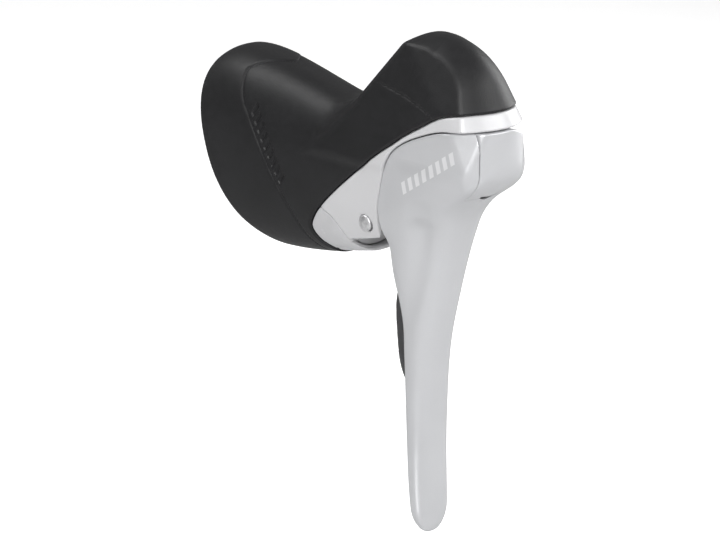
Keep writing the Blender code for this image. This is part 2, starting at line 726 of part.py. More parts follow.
def make_under_cover():
    """The cover that closes the bracket below its ears."""
    cover = put("under_cover", body_loft("under_cover", SKIN, **COVER_REACH), RESIN)
    boolean(cover, put("under_inner", body_loft("under_inner", 2.4, **COVER_REACH)))
    cover_region = closed(shifted(EAR, -GAP)[:20], (54.5, -33.4), (54.5, -60), (20, -60), (20, -14))
    side_cut(cover, "cover_region", cover_region, how="INTERSECT")
    above_trim = closed(shifted(TRIM, -GAP), (130, 90), (-90, 90), (-90, -62))
    side_cut(cover, "above_trim", above_trim)
    drum_cut(cover, "cover_screw_bore", COVER_SCREW_BORE, -60, -20, COVER_SCREW, 16)


def make_cover_screw():
    name, long, thin = "under_cover_screw", 1.6, 0.35      # half sizes of the cross slot
    screw = drum(name, 2.35, -36.4, -34.3, DARK_STEEL, COVER_SCREW, sides=16)
    drum_cut(screw, name + "_shank", 1.2, -35, -29, COVER_SCREW, 12, "UNION")
    for letter, x, y in (("a", long, thin), ("b", thin, long)):
        block_cut(screw, f"{name}_slot_{letter}", (-x, -y, -37), (x, y, -35.5), COVER_SCREW)


def make_clamp():
    """A steel strap round the bar, a nut behind its folded end and a bolt through the bracket."""
    radius = BAR_RADIUS + 0.65      # centre of the strap
    line = [(10.6, 15.6), (10.6, radius), (5.0, radius)] + arc(radius, range(90, 271, 15))
    line += [(3.0, -radius), (7.2, -15.9), (12.2, -15.9), (12.2, -8.4)]
    band = plate("clamp_band", [strip(line, 0.6)], -7, 7, STEEL, BAR)
    thread = 2.7
    drum_cut(band, "band_hole", thread, 9, 16, BOLT, 16)
    nut = block("clamp_nut", (8.4, -BOLT_OUT - 3.2, -3.3), (11.3, -BOLT_OUT + 2.8, 3.3),
                DARK_STEEL, BAR)
    drum_cut(nut, "nut_thread", thread, 4, 16, BOLT, 16)
    profile = [(0, 29.2), (2.7, 29.2), (2.9, 28.9), (2.9, 24.9), (2.4, 24.9), (2.4, 7.4),
               (2.1, 7.0), (0, 7.0)]
    bolt = turned("clamp_bolt", profile, DARK_STEEL, BOLT, steps=20)
    drum_cut(bolt, "clamp_bolt_socket", 1.7, 26.6, 30, BOLT, 6)


def make_lever_axle():
    """The brake axle, its set screw and the lever's return spring."""
    radius, half, chamfered, end = LEVER_AXLE_RADIUS, 15.2, 2.4, 15.6
    profile = [(0, end), (chamfered, end), (radius, half), (radius, -half), (chamfered, -end),
               (0, -end)]
    axle = turned("lever_axle", profile, STEEL, AXLE)
    drum_cut(axle, "axle_socket", 1.4, -16, -14.2, AXLE, 6)
    level = LEVER_AXLE[1]
    screw = drum("axle_set_screw", 1.4, level - 7.0, level - 3.2, DARK_STEEL, SET_SCREW, sides=12)
    drum_cut(screw, "set_screw_socket", 0.75, level - 8, level - 5.4, SET_SCREW, 6)
    half = 3.6
    turns = coil(5.0, -half, half, turns=3.5, start=200, per_turn=10)
    spring = [(-9.0, 4.6, -half)] + turns + [(6.4, -8.2, half)]
    wire("brake_return_spring", spring, 0.65, AXLE)


# ================= the brake lever's support, which carries the shift unit =================
SUPPORT_REAR, SUPPORT_FRONT = -16.0, -13.4       # the support's plate, along the shift axis
ARM_INNER, ARM_OUTER = 8.6, 11.0                 # the support's arms, from the mid plane


def make_support():
    arm = [shift_point(-14.2, -8.1), shift_point(-14.2, 8.1), shift_point(-18, 8.1),
           shift_point(-22.5, 3.5)]
    arm += arc(6, range(135, 331, 15), LEVER_AXLE) + [shift_point(-20.8, -8.6)]
    support = plate("lever_support", [arm], ARM_INNER, ARM_OUTER, SILVER, SIDE, BRAKE)
    boolean(support, plate("support_arm_inboard", [arm], -ARM_OUTER, -ARM_INNER), "UNION")
    for name, half, low, high in (("support_plate", 10.9, -8.5, 8.5),
                                  ("support_tab", 8.0, 8.0, 14.2)):
        block_cut(support, name, (-half, low, SUPPORT_REAR), (half, high, SUPPORT_FRONT),
                  SHIFT, "UNION")
    # the outboard arm is relieved where the main lever's flank swings past
    for angle in (9.0, 15.0, FULL_SWING):
        block_cut(support, "flank_sweep", (-17.5, -30, -28.2), (-13.4, -4, -12),
                  placed(SHIFT, turn=angle))
    drum_cut(support, "support_axle_bore", 4.3, -20, 20, AXLE)
    drum_cut(support, "support_shift_bore", SHIFT_AXLE_RADIUS + FIT, -20, -10, SHIFT)
    drum_cut(support, "hook_bore", 2.0, -20, 20, HOOK_FRAME, 16)
    drum_cut(support, "reach_bore", 1.65, -20, -10, REACH_FRAME, 12)
    drum_cut(support, "pawl_pin_hole", PAWL_PIN_RADIUS + FIT, -20, -10, HOLD_FRAME, 12)


def make_axle_bushes():
    for name, low in (("axle_bush_outboard", -11.4), ("axle_bush_inboard", 8.2)):
        tube_ring(name, LEVER_AXLE_RADIUS + 0.2, 4.05, low, low + 3.2, BRONZE, AXLE, BRAKE)


def make_shift_axle():
    """The shift axle holds the release lever's eye behind the support and the main lever
    in front of it."""
    radius = SHIFT_AXLE_RADIUS
    profile = [(0, 11.9), (2.7, 11.9), (3.0, 11.6), (3.0, 8.3), (radius, 8.3), (radius, -18.3),
               (5.6, -18.3), (5.6, -19.3), (5.2, -19.6), (0, -19.6)]
    turned("shift_axle", profile, STEEL, SHIFT, BRAKE)
    plate("shift_axle_nut", [circle(4.8, 6), circle(3.25)], 9.0, 11.0, STEEL, SHIFT, BRAKE)
    tube_ring("wave_washer", 3.3, 4.9, 8.4, 8.8, STEEL, SHIFT, BRAKE)
    tube_ring("index_plate", DRUM_BORE, 10.3, -13.0, -11.6, STEEL, SHIFT, BRAKE)


def make_shift_springs():
    drum_coil = coil(5.7, -10.9, -4.0, turns=4.5, start=0, per_turn=9)
    wire("drum_spring", drum_coil, 0.5, SHIFT, BRAKE)
    main_coil = coil(6.4, 1.5, 3.7, turns=2.4, start=40, per_turn=9)
    wire("main_return_spring", main_coil, 0.45, SHIFT, BRAKE)


def make_cable_hook():
    """The brake cable's hook: a barrel that turns in the support's arms."""
    end, barrel_end, pin, barrel = 10.8, 7.9, 1.7, 3.5
    profile = [(0, end), (pin, end), (pin, barrel_end), (barrel, barrel_end),
               (barrel, -barrel_end), (pin, -barrel_end), (pin, -end), (0, -end)]
    hook = turned("cable_hook", profile, STEEL, HOOK_FRAME, HOOK, steps=16)
    block_cut(hook, "hook_slot_cut", (-5, -0.9, -1.0), (5, 5, 1.0), HOOK_FRAME)
    drum_cut(hook, "hook_nipple_bore", 2.1, -3.2, 3.2, placed(HOOK_FRAME, 3.4), 12)


def make_reach_screw():
    """The screw that bears on the bracket's stop and sets how far out the lever rests."""
    screw = drum("reach_adjust_screw", 1.4, -20.6, -11.9, DARK_STEEL, REACH_FRAME, REACH, 12)
    drum_cut(screw, "reach_socket", 0.75, -14, -11, REACH_FRAME, 6)


# ================= cable drum, ratchets and pawls =================
TEETH = 9
RATCHET_RADIUS = 9.6
TOOTH_DEPTH = 1.0
TOOTHED = 140           # the part of the circle that has teeth
ROOT_POINTS = 14        # points round the rest of the circle


def ratchet(bore, start):
    """Saw teeth over part of the circle, and the root circle over the rest."""
    root, step, rest = RATCHET_RADIUS - TOOTH_DEPTH, TOOTHED / TEETH, 360 - TOOTHED
    outline = []
    for i in range(TEETH):
        angle = start + i * step
        outline += [polar(root, angle + 0.5),
                    polar(RATCHET_RADIUS - TOOTH_DEPTH * 0.45, angle + step * 0.5),
                    polar(RATCHET_RADIUS, angle + step * 0.92)]
    outline += [polar(root, start + TOOTHED + rest * (i + 0.5) / ROOT_POINTS)
                for i in range(ROOT_POINTS)]
    return [outline, circle(bore)]


def make_cable_drum():
    plate("index_ratchet", ratchet(7.3, 20), -11.2, -9.4, DARK_STEEL, SHIFT, DRUM)
    rim, groove, inner, bore = DRUM_RADIUS, 8.1, 7.3, DRUM_BORE
    profile = [(rim, -1.6), (rim, -3.0), (groove, -3.6), (groove, -7.0), (rim, -7.6), (rim, -9.0),
               (inner, -9.0), (inner, -3.2), (bore, -3.2), (bore, -1.6)]
    cable_drum = turned("cable_drum", profile, BLACK_RESIN, SHIFT, DRUM, steps=28, ring=True)
    drum_cut(cable_drum, "nipple_pocket", 1.9, -8.2, -4.6, placed(SHIFT, y=0.2 - DRUM_RADIUS), 12)
    plate("pull_ratchet", ratchet(DRUM_BORE, 60), -1.2, 0.6, DARK_STEEL, SHIFT, DRUM)


def make_pawls():
    """Each pawl turns on its pin and reaches round its ratchet."""
    pawl = [[(-4.9, 0.15)] + arc(1.75, range(120, -121, -30)) + [(-5.2, -0.9)],
            circle(PAWL_PIN_RADIUS + FIT, 12)]
    drum("holding_pawl_pin", PAWL_PIN_RADIUS, -15.8, -8.8, STEEL, HOLD_FRAME, BRAKE, 12)
    plate("holding_pawl", pawl, -11.1, -9.5, STEEL, HOLD_FRAME, HOLD)
    drum("pull_pawl_pin", PAWL_PIN_RADIUS, -1.0, 7.0, STEEL, PULL_FRAME, MAIN, 12)
    plate("pull_pawl", pawl, -1.1, 0.5, STEEL, PULL_FRAME, PULL)


# ================= main lever: head and blade in one, with the nose cap =================
LEVER_HEIGHTS = [-126.3, -124.6, -122, -118, -112, -105, -97, -88, -78, -68, -58, -50,
                 -43, -37, -31, -26, -21, -17, -13, -9, -4, 2, 10, 21]
CAVITY_HEIGHTS = [-12.4, -9, -4, 2, 10, 24]
NOSE_HEIGHTS = [-7, -3, 0, 4, 9, 14, 24]
NUT_SPACE_RADIUS = 5.2


def lever_centre(up):
    """On the blade's centre below, moving over to the head's centre above."""
    share = min(1.0, max(0.0, (up + 30) / 22))
    return float(BLADE_OUT(up)) * (1 - share), float(BLADE_FORE(up)) * (1 - share) + 86.0 * share


def swung_brackets():
    """The bracket's side of the split, as the swinging lever meets it."""
    outline = closed(shifted(SPLIT, -GAP), (130, 90), (-90, 90), (-90, -60))
    mesh = plate_mesh("bracket_side", [outline], -CUT_HALF, CUT_HALF)
    return [put(f"bracket_side_{i}", mesh, base=placed(SHIFT, turn=-angle) @ SHIFT.inverted() @ SIDE)
            for i, angle in enumerate((0.0, SHIFT_SWING / 2, FULL_SWING))]


def nose_outline(rear):
    return [(rear, -12), (130, -12), (130, 40), (rear, 40)]


def make_main_lever(swung):
    mesh = upright_loft("main_lever", lever_form, LEVER_HEIGHTS, lever_centre, 36, 5)
    lever = put("main_lever", mesh, SILVER, parent=MAIN)
    for tool in swung:
        boolean(lever, tool)
    mesh = upright_loft("lever_cavity", cavity_form, CAVITY_HEIGHTS, lambda up: (0.0, 80.0), 28, 5)
    boolean(lever, put("lever_cavity", mesh))
    for name, low, high in (
            ("rear_open", (-14.0, -13.6, -40), (14.0, 40, -10)),
            ("root_open", (-13.9, -32.0, -40), (13.9, -13.0, -20.5)),
            ("arm_slot", (-5.5, -48.0, -40), (10.8, -8, -15.5)),
            ("arm_slot_side", (8.0, -47.8, -39), (17.0, -30.0, -15.6))):
        block_cut(lever, name, low, high, SHIFT)
    drum_cut(lever, "yoke_bore", 5.25, 0, 30, SHIFT)
    drum_cut(lever, "nut_recess", NUT_SPACE_RADIUS, 8.2, 40, SHIFT)
    side_cut(lever, "nose_space", nose_outline(104.2), half=10.0)
    drum_cut(lever, "pull_pin_hole", PAWL_PIN_RADIUS + FIT, 0, 7.4, PULL_FRAME, 12)
    drum_cut(lever, "nose_screw_seat", 2.4, -30, -9.8, NOSE_SCREW, 12)
    tube_ring("main_lever_bush", SHIFT_AXLE_RADIUS + FIT, 5.0, 5.7, 8.1, BRONZE, SHIFT, MAIN)


def make_nose_cap(swung):
    mesh = upright_loft("nose_cap", head, NOSE_HEIGHTS, lambda up: (0.0, 97.0), 40, 4.5)
    cap = put("nose_cap", mesh, SILVER, parent=MAIN)
    side_cut(cap, "nose_part", nose_outline(104.2 + GAP), half=10.0 - GAP, how="INTERSECT")
    for tool in swung:
        boolean(cap, tool)
    drum_cut(cap, "nose_nut_space", NUT_SPACE_RADIUS, 8, 12.9, SHIFT)
    drum_cut(cap, "nose_screw_bore", 1.3, -20, -4, NOSE_SCREW, 12)
    profile = [(0, -4.6), (1.0, -4.6), (1.0, -10.1), (2.0, -10.1), (2.0, -11.4), (0, -11.4)]
    turned("nose_cap_screw", profile, DARK_STEEL, NOSE_SCREW, MAIN, steps=12)


# ======== release lever: an arm on the shift axle with a paddle behind the blade ========
PADDLE_INBOARD = 1.2        # the paddle's upper end and the rivets, from the mid plane
PADDLE_FRONT = -18.5        # its upper front edge, along the shift axis
PADDLE_HALF = 0.9           # half its thickness
PADDLE_STEPS = 8


def paddle_rings():
    rings = []
    for i, above in enumerate(np.linspace(-38.5, -90, PADDLE_STEPS + 1)):
        share = i / PADDLE_STEPS
        rear = PADDLE_FRONT - 9.5 * math.sin(math.pi * min(1, 0.15 + 0.75 * share)) ** 0.8
        front = PADDLE_FRONT + 5.0 * max(share - 0.16, 0)
        inboard = PADDLE_INBOARD + 3.6 * share * share      # bends inboard towards its end
        if i in (0, PADDLE_STEPS):
            rear = front - (front - rear) * 0.72
        across = np.linspace(0, 1, 6)
        ring = []
        for half, places in ((PADDLE_HALF, across), (-PADDLE_HALF, across[::-1])):
            for place in places:
                x = inboard + half + 1.8 * (1 - place) ** 2
                ring.append((-x, *shift_point(rear + (front - rear) * place, above)))
        rings.append(ring)
    return rings


def make_release_lever():
    eye = arc(7.2, range(-45, 226, 18))
    shank = [(-2.4, -12), (-1.6, -30), (-1.0, -47), (3.6, -47), (3.8, -30), (3.0, -12)]
    arm = plate("release_arm", [eye + shank, circle(4.6)], -17.9, -16.4, STEEL, SHIFT, RELEASE)
    tube_ring("release_bush", SHIFT_AXLE_RADIUS + FIT, 4.35, -17.8, -16.5, BRONZE, SHIFT, RELEASE)
    mesh = loft_mesh("release_paddle", paddle_rings())
    paddle = put("release_paddle", mesh, BLACK_RESIN, parent=RELEASE)
    block_cut(paddle, "paddle_foot", (-1.4, -47.0, -21.0), (3.9, -38.0, -18.3), SHIFT, "UNION")
    profile = [(0, -15.6), (1.5, -15.6), (1.5, -16.1), (0.9, -16.1), (0.9, -20.5), (0, -20.5)]
    for name, above in (("paddle_rivet_upper", -40.6), ("paddle_rivet_lower", -44.6)):
        base = placed(SHIFT, PADDLE_INBOARD, above)
        drum_cut(arm, name + "_hole", 1.15, -24, -13, base, 12)
        drum_cut(paddle, name + "_bore", 1.15, -28, -15, base, 12)
        turned(name, profile, STEEL, base, RELEASE, steps=12)


# ================= build =================
make_hood()
make_bracket()
make_casing_stops()
make_under_cover()
make_cover_screw()
make_clamp()
make_lever_axle()
make_support()
make_axle_bushes()
make_shift_axle()
make_shift_springs()
make_cable_hook()
make_reach_screw()
make_cable_drum()
make_pawls()
brackets = swung_brackets()
make_main_lever(brackets)
make_nose_cap(brackets)
make_release_lever()

for part in PARTS.objects:
    if part.type == "MESH":
        part.data.shade_smooth()
        part.data.set_sharp_from_angle(angle=math.radians(SHARP_ANGLE))
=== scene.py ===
"""Looks of the brake and shift lever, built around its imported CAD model.

Lengths inside this script are millimetres: w is outboard (row -X), f is forward (row -Y) and u is up (row +Z).
The outer forms are the same smooth fields as the CAD's, meshed finely here, with the moulded detail that the CAD leaves out.
"""
import math

import bpy
import numpy as np
from mathutils import Matrix, Vector


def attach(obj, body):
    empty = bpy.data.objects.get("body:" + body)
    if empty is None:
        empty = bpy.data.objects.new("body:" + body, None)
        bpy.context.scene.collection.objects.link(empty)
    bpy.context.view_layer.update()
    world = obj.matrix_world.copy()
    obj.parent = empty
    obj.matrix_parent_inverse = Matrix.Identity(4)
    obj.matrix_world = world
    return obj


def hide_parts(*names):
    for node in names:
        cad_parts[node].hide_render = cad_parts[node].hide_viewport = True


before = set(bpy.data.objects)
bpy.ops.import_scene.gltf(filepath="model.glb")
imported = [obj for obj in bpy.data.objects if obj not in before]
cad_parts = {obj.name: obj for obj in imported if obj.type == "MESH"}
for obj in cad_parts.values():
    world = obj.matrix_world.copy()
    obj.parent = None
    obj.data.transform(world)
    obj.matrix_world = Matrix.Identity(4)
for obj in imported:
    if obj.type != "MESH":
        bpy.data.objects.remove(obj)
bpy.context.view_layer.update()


# =====================================================================================
# maths kit
# =====================================================================================
def spline(xs, ys):
    """Natural cubic through the points, straight outside them."""
    x, y = np.array(xs, float), np.array(ys, float)
    n, h = len(x), np.diff(x)
    a, r = np.zeros((n, n)), np.zeros(n)
    a[0, 0] = a[-1, -1] = 1
    for i in range(1, n - 1):
        a[i, i - 1], a[i, i], a[i, i + 1] = h[i - 1], 2 * (h[i - 1] + h[i]), h[i]
        r[i] = 6 * ((y[i + 1] - y[i]) / h[i] - (y[i] - y[i - 1]) / h[i - 1])
    m = np.linalg.solve(a, r)
    d0 = (y[1] - y[0]) / h[0] - h[0] * m[1] / 6
    d1 = (y[-1] - y[-2]) / h[-1] + h[-1] * m[-2] / 6

    def exact(q):
        q = np.asarray(q, float)
        i = np.clip(np.searchsorted(x, q) - 1, 0, n - 2)
        t, g = np.clip(q, x[0], x[-1]), h[i]
        A, B = (x[i + 1] - t) / g, (t - x[i]) / g
        v = A * y[i] + B * y[i + 1] + ((A**3 - A) * m[i] + (B**3 - B) * m[i + 1]) * g * g / 6
        return v + np.where(q < x[0], (q - x[0]) * d0, 0) + np.where(q > x[-1], (q - x[-1]) * d1, 0)

    lo, hi, fine = x[0] - 60, x[-1] + 60, 0.05
    table = exact(np.arange(lo, hi, fine))
    last = len(table) - 1.001

    def at(q):
        i = np.clip((np.asarray(q, float) - lo) / fine, 0, last)
        k = i.astype(np.int64)
        return table[k] + (table[k + 1] - table[k]) * (i - k)

    return at


def smin(a, b, k):
    h = np.maximum(k - np.abs(a - b), 0) / k
    return np.minimum(a, b) - h * h * k / 4


def smax(a, b, k):
    return -smin(-a, -b, k)


def curve2(points, per=6):
    """A Catmull-Rom line through the points."""
    p = np.array(points, float)
    p = np.vstack([2 * p[0] - p[1], p, 2 * p[-1] - p[-2]])
    out = []
    for i in range(1, len(p) - 2):
        for k in range(per):
            t = k / per
            out.append(0.5 * (2 * p[i] + (p[i + 1] - p[i - 1]) * t + (2 * p[i - 1] - 5 * p[i] + 4 * p[i + 1] - p[i + 2]) * t * t + (3 * p[i] - p[i - 1] - 3 * p[i + 1] + p[i + 2]) * t**3))
    out.append(p[-2])
    return np.array(out)


class Grid2:
    """A function of two coordinates, tabulated once and read by interpolation."""

    def __init__(self, table, a0, b0, step):
        self.t, self.a0, self.b0, self.h = table, a0, b0, step

    def __call__(self, a, b):
        i = np.clip((a - self.a0) / self.h, 0, self.t.shape[0] - 1.001)
        j = np.clip((b - self.b0) / self.h, 0, self.t.shape[1] - 1.001)
        k, m = i.astype(np.int64), j.astype(np.int64)
        p, q, t = i - k, j - m, self.t
        return (t[k, m] * (1 - p) + t[k + 1, m] * p) * (1 - q) + (t[k, m + 1] * (1 - p) + t[k + 1, m + 1] * p) * q


def line_tables(line, a, b):
    """Signed distance from an open line (positive on its left) and length along it, for each point."""
    best = np.full(a.shape, 1e9)
    sign, along = np.ones(a.shape), np.zeros(a.shape)
    n, total = len(line) - 1, 0.0
    for i in range(n):
        p, q = line[i], line[i + 1]
        d = q - p
        L2 = d @ d
        t = ((a - p[0]) * d[0] + (b - p[1]) * d[1]) / L2
        t = np.clip(t, -1e9 if i == 0 else 0, 1e9 if i == n - 1 else 1)
        r = (a - p[0] - t * d[0]) ** 2 + (b - p[1] - t * d[1]) ** 2
        s = d[0] * (b - p[1]) - d[1] * (a - p[0])
        near = r < best - 1e-12
        best = np.where(near, r, best)
        sign = np.where(near, np.sign(s), sign)
        along = np.where(near, total + t * math.sqrt(L2), along)
        total += math.sqrt(L2)
    return np.sqrt(best) * np.where(sign == 0, 1, sign), along


def side(points, per=6, smooth=True, lo=(-45.0, -145.0), hi=(135.0, 66.0), step=0.4, along=False):
    """Distance from a side-view line, positive on its left."""
    line = curve2(points, per) if smooth else np.array(points, float)
    a = lo[0] + step * np.arange(int((hi[0] - lo[0]) / step) + 1)
    b = lo[1] + step * np.arange(int((hi[1] - lo[1]) / step) + 1)
    d, s = line_tables(line, *np.meshgrid(a, b, indexing="ij"))
    return (Grid2(d, lo[0], lo[1], step), Grid2(s, lo[0], lo[1], step)) if along else Grid2(d, lo[0], lo[1], step)


def outline(points, step=0.1, pad=1.5):
    """Signed distance from a closed outline, negative inside."""
    p = np.array(points, float)
    lo, hi = p.min(0) - pad, p.max(0) + pad
    a = lo[0] + step * np.arange(int((hi[0] - lo[0]) / step) + 2)
    b = lo[1] + step * np.arange(int((hi[1] - lo[1]) / step) + 2)
    A, B = np.meshgrid(a, b, indexing="ij")
    best = np.full(A.shape, 1e9)
    inside = np.zeros(A.shape, bool)
    for i in range(len(p)):
        s, e = p[i - 1], p[i]
        d = e - s
        L2 = max(d @ d, 1e-12)
        t = np.clip(((A - s[0]) * d[0] + (B - s[1]) * d[1]) / L2, 0, 1)
        best = np.minimum(best, (A - s[0] - t * d[0]) ** 2 + (B - s[1] - t * d[1]) ** 2)
        if d[1] != 0:
            crosses = (s[1] > B) != (e[1] > B)
            inside ^= crosses & (A < (B - s[1]) * d[0] / d[1] + s[0])
    return Grid2(np.sqrt(best) * np.where(inside, -1, 1), lo[0], lo[1], step)


def plane(w, f, u, n, p):
    n = np.array(n, float) / np.linalg.norm(n)
    return (w - p[0]) * n[0] + (f - p[1]) * n[1] + (u - p[2]) * n[2]


def slab(x, lo, hi):
    return np.maximum(lo - x, x - hi)


def box3(x, y, z, lo, hi, k=0.0):
    a, b, c = slab(x, lo[0], hi[0]), slab(y, lo[1], hi[1]), slab(z, lo[2], hi[2])
    return smax(smax(a, b, k), c, k) if k else np.maximum(np.maximum(a, b), c)


def bump01(x, half):
    """1 at 0, falling smoothly to 0 at half."""
    t = np.clip(1 - np.abs(x) / half, 0, 1)
    return t * t * (3 - 2 * t)


def ease(x, a, b):
    t = np.clip((x - a) / (b - a), 0, 1)
    return t * t * (3 - 2 * t)


# =====================================================================================
# dimensions and outer forms, the same as the CAD's
# =====================================================================================
AXLE = (60.5, -20.5)
SHIFT_POINT = (93.0, 1.5)
SHIFT_DIR = (0.99112, -0.13296)
AXIS_R = 3.6
HOOD_WALL = 2.4
GAP = 0.35
SKIN = 0.6
UNDER_HOOD = 2.9

HALF_W = spline([-26, -14, 0, 14, 28, 42, 60, 80, 100, 120], [20.6, 20.8, 20.0, 18.4, 17.2, 16.6, 16.4, 16.2, 16.0, 15.5])
TOP = spline([-28, -18, -8, 4, 16, 28, 38, 47, 56, 70, 90, 120], [26.0, 28.0, 27.9, 26.2, 23.9, 21.3, 19.4, 18.9, 19.2, 20.0, 19, 16])
BOTTOM = spline([-26, -10, 6, 20, 32, 45, 60, 72, 90, 120], [-44, -44, -43, -41.8, -40.0, -37.4, -33.6, -29.5, -20, -12])


def grip(w, f, u):
    a, t, b = HALF_W(f), TOP(f), BOTTOM(f)
    c, h = (t + b) / 2, (t - b) / 2
    n = 2.5
    x, y = np.abs(w / a), np.abs((u - c) / h)
    xn, yn = x ** (n - 1), y ** (n - 1)
    r = (xn * x + yn * y) ** (1 / n)
    g = np.hypot(xn / a, yn / h) * np.maximum(r, 1e-6) ** (1 - n)
    return (r - 1) / np.maximum(g, 1 / 60)


def brow(f, u):
    """The horn's side profile: level on top, round in front, then straight and leaning back."""
    x, y = f - 82.5, u - 20.4
    turn = np.arctan2(x, y)
    return np.where(turn < 0, y - 27.0, np.where(turn > 1.0505, 0.868 * x + 0.497 * y - 27.0, np.hypot(x, y) - 27.0))


def horn(w, f, u):
    a = np.sqrt(w * w + 0.6)
    d = plane(a, f, u, (0.981, -0.04, 0.193), (15.2, 94.3, 25.3))
    d = smax(d, a - 16.4, 3)
    d = smax(d, plane(a, f, u, (0.923, 0.151, 0.353), (15.2, 94.3, 25.3)), 0.6)
    d = smax(d, brow(f, u) + w * w / (np.clip(48.1 - 0.62 * u, 19, 36) + 1.5 * np.clip(88 - f, 0, 14)), 0.8)
    d = smax(d, f - 115.3 + w * w / 36, 1.0)
    d = smax(d, plane(w, f, u, (0, -0.75, 0.66), (0, 60.2, 30)), 4)
    return smax(d, 2 - u, 2)


def envelope(w, f, u):
    k = 11 - 6.5 * np.clip((np.abs(w) - 9) / 6.5, 0, 1)      # a wide fillet on top, a tight one down the flanks
    return smin(smax(grip(w, f, u), f - 96, 6), horn(w, f, u), k)


def head(w, f, u):
    """The lever's head with its flush nose: flanks, a facet each side, a nearly flat front and its lower chamfer."""
    a = np.sqrt(w * w + 0.6)
    d = smax(a - 16.0, plane(a, f, u, (1, 0.0426, 0), (15.0, 101.5, 10)), 1.0)
    d = smax(d, plane(a, f, u, (0.862, 0.457, 0.221), (15.0, 101.5, 16.4)), 1.0)
    d = smax(d, f - 113.5 + w * w / 40, 1.2)
    d = smax(d, plane(w, f, u, (0, 0.94, -0.34), (0, 113.3, 7.0)), 1.5)
    d = smax(d, plane(a, f, u, (0.30, 0.50, -0.81), (15, 80, -19)), 8)
    d = smax(d, plane(w, f, u, (0, 0.504, -0.864), (0, 109.4, -2.6)), 5)
    return smax(d, 58 - f, 2)


BLADE_U = [-130, -118, -100, -80, -60, -45, -31, -20, -8, 4]
BLADE_F = spline(BLADE_U, [94, 89.5, 84.5, 81.2, 79.6, 79.0, 78.0, 79.5, 83, 86])
BLADE_W = spline(BLADE_U, [13.5, 10.6, 7.0, 4.2, 2.4, 1.4, 0.6, 0.2, 0, 0])
BLADE_D = spline(BLADE_U, [3.4, 3.8, 4.4, 5.3, 6.8, 9.4, 12.8, 14.6, 15.6, 16.5])
BLADE_H = spline(BLADE_U, [6.4, 7.8, 8.2, 8.5, 9.2, 11.0, 13.4, 14.2, 14.4, 14])
TIP = -126.5


def blade(w, f, u):
    c, e, p, q = BLADE_F(u), BLADE_W(u), BLADE_D(u), BLADE_H(u)
    k = np.sqrt(np.clip(1 - np.maximum(-(u + 118) / (-TIP - 118), 0) ** 2, 0.02, 1))
    p, q, n = p * k, q * k, 2.3
    x, y = np.abs((w - e) / q), np.abs((f - c) / p)
    xn, yn = x ** (n - 1), y ** (n - 1)
    r = (xn * x + yn * y) ** (1 / n)
    g = np.hypot(xn / q, yn / p) * np.maximum(r, 1e-6) ** (1 - n)
    d = (r - 1) / np.maximum(g, 1 / 30)
    d = smax(d, TIP - u, 1.5)
    return smax(d, u - 2, 4)


def lever_form(w, f, u):
    return smin(head(w, f, u), blade(w, f, u), 5)


TRIM_P = [(48, -62), (42.5, -44), (37.8, -36.9), (33.8, -33.4), (31.7, -29.2), (32.6, -25.6), (37.2, -19.7), (44.6, -12.6), (54.7, -4.1), (61.7, 1.2), (68.4, 6.2), (74.6, 10.4), (80.6, 14.6), (87.4, 18.5), (92.7, 21.5), (97.5, 23.7), (104, 25.1), (110, 25.7), (130, 27)]
RIM_P = [(62, -65), (33, -51), (18, -46), (7, -41.8), (-6.4, -32.4), (-16.6, -18.4), (-22.8, -3), (-25.8, 12), (-24.5, 22), (-19, 30), (-12, 40)]
SPLIT_P = [(70, -60), (71, -44), (70.8, -34), (69.7, -28.5), (68.1, -23.5), (66.9, -18), (67.4, -12), (68.4, -7.2), (69.6, -2), (71.6, 3.6), (74.8, 8.2), (80, 12.0), (87.3, 15.4), (96, 18.4), (104, 19.6), (112, 20.2), (130, 20.8)]
EAR_P = [(30, -14), (38.7, -19.8), (43.3, -22.0), (47.0, -26.1), (49.6, -30.6), (54, -32.9), (59, -32.6), (63.0, -29.6), (65.4, -25.8), (66.4, -20.5), (67.5, -14)]
GROOVE_P = [(46, -50), (36, -41), (28.4, -33.4), (24.2, -26.3), (19.0, -18.9), (13.7, -11.3), (8.5, -2.8), (5.3, 2.4), (2.3, 7.0), (-0.5, 10.5), (-2.6, 14.0), (-4.1, 18.0), (-4.9, 21.5), (-5.1, 25), (-5.1, 34)]
SHELF_P = [(40, 31), (58, 30.3), (65.7, 29.7), (70, 29), (74.3, 28.3), (79.5, 27.3), (85.2, 25.8), (89, 24.5), (92.2, 22.9), (97, 19)]
REAR_P = [(12, -90), (12, -37), (-3, -2), (-9, 18), (-9, 60)]

TRIM = side(TRIM_P)            # the hood on its left
RIM = side(RIM_P)              # the hood on its right
SPLIT = side(SPLIT_P)          # bracket on its left, lever on its right
EAR = side(EAR_P)              # bracket on its left, under cover on its right
GROOVE, GROOVE_S = side(GROOVE_P, along=True)
SHELF = side(SHELF_P)
REAR = side(REAR_P, smooth=False)
MARK_START = float(GROOVE_S(19.6, -15.6)) + 1.0          # the marks start here along the step line


# ---------- local frames ----------
def bar_frame(w, f, u):
    """Forward of the bar's centre line, inboard, and up along the bar."""
    a, b = f + 11.124, u + 4.5
    return 0.927 * a + 0.375 * b, -w, -0.375 * a + 0.927 * b


def shift_frame(w, f, u):
    """Inboard, up, and forward along the shift axis."""
    a, b = f - SHIFT_POINT[0], u - SHIFT_POINT[1]
    return -w, -SHIFT_DIR[1] * a + SHIFT_DIR[0] * b, SHIFT_DIR[0] * a + SHIFT_DIR[1] * b


def t_point(t, v):
    return SHIFT_POINT[0] + SHIFT_DIR[0] * t - SHIFT_DIR[1] * v, SHIFT_POINT[1] + SHIFT_DIR[1] * t + SHIFT_DIR[0] * v


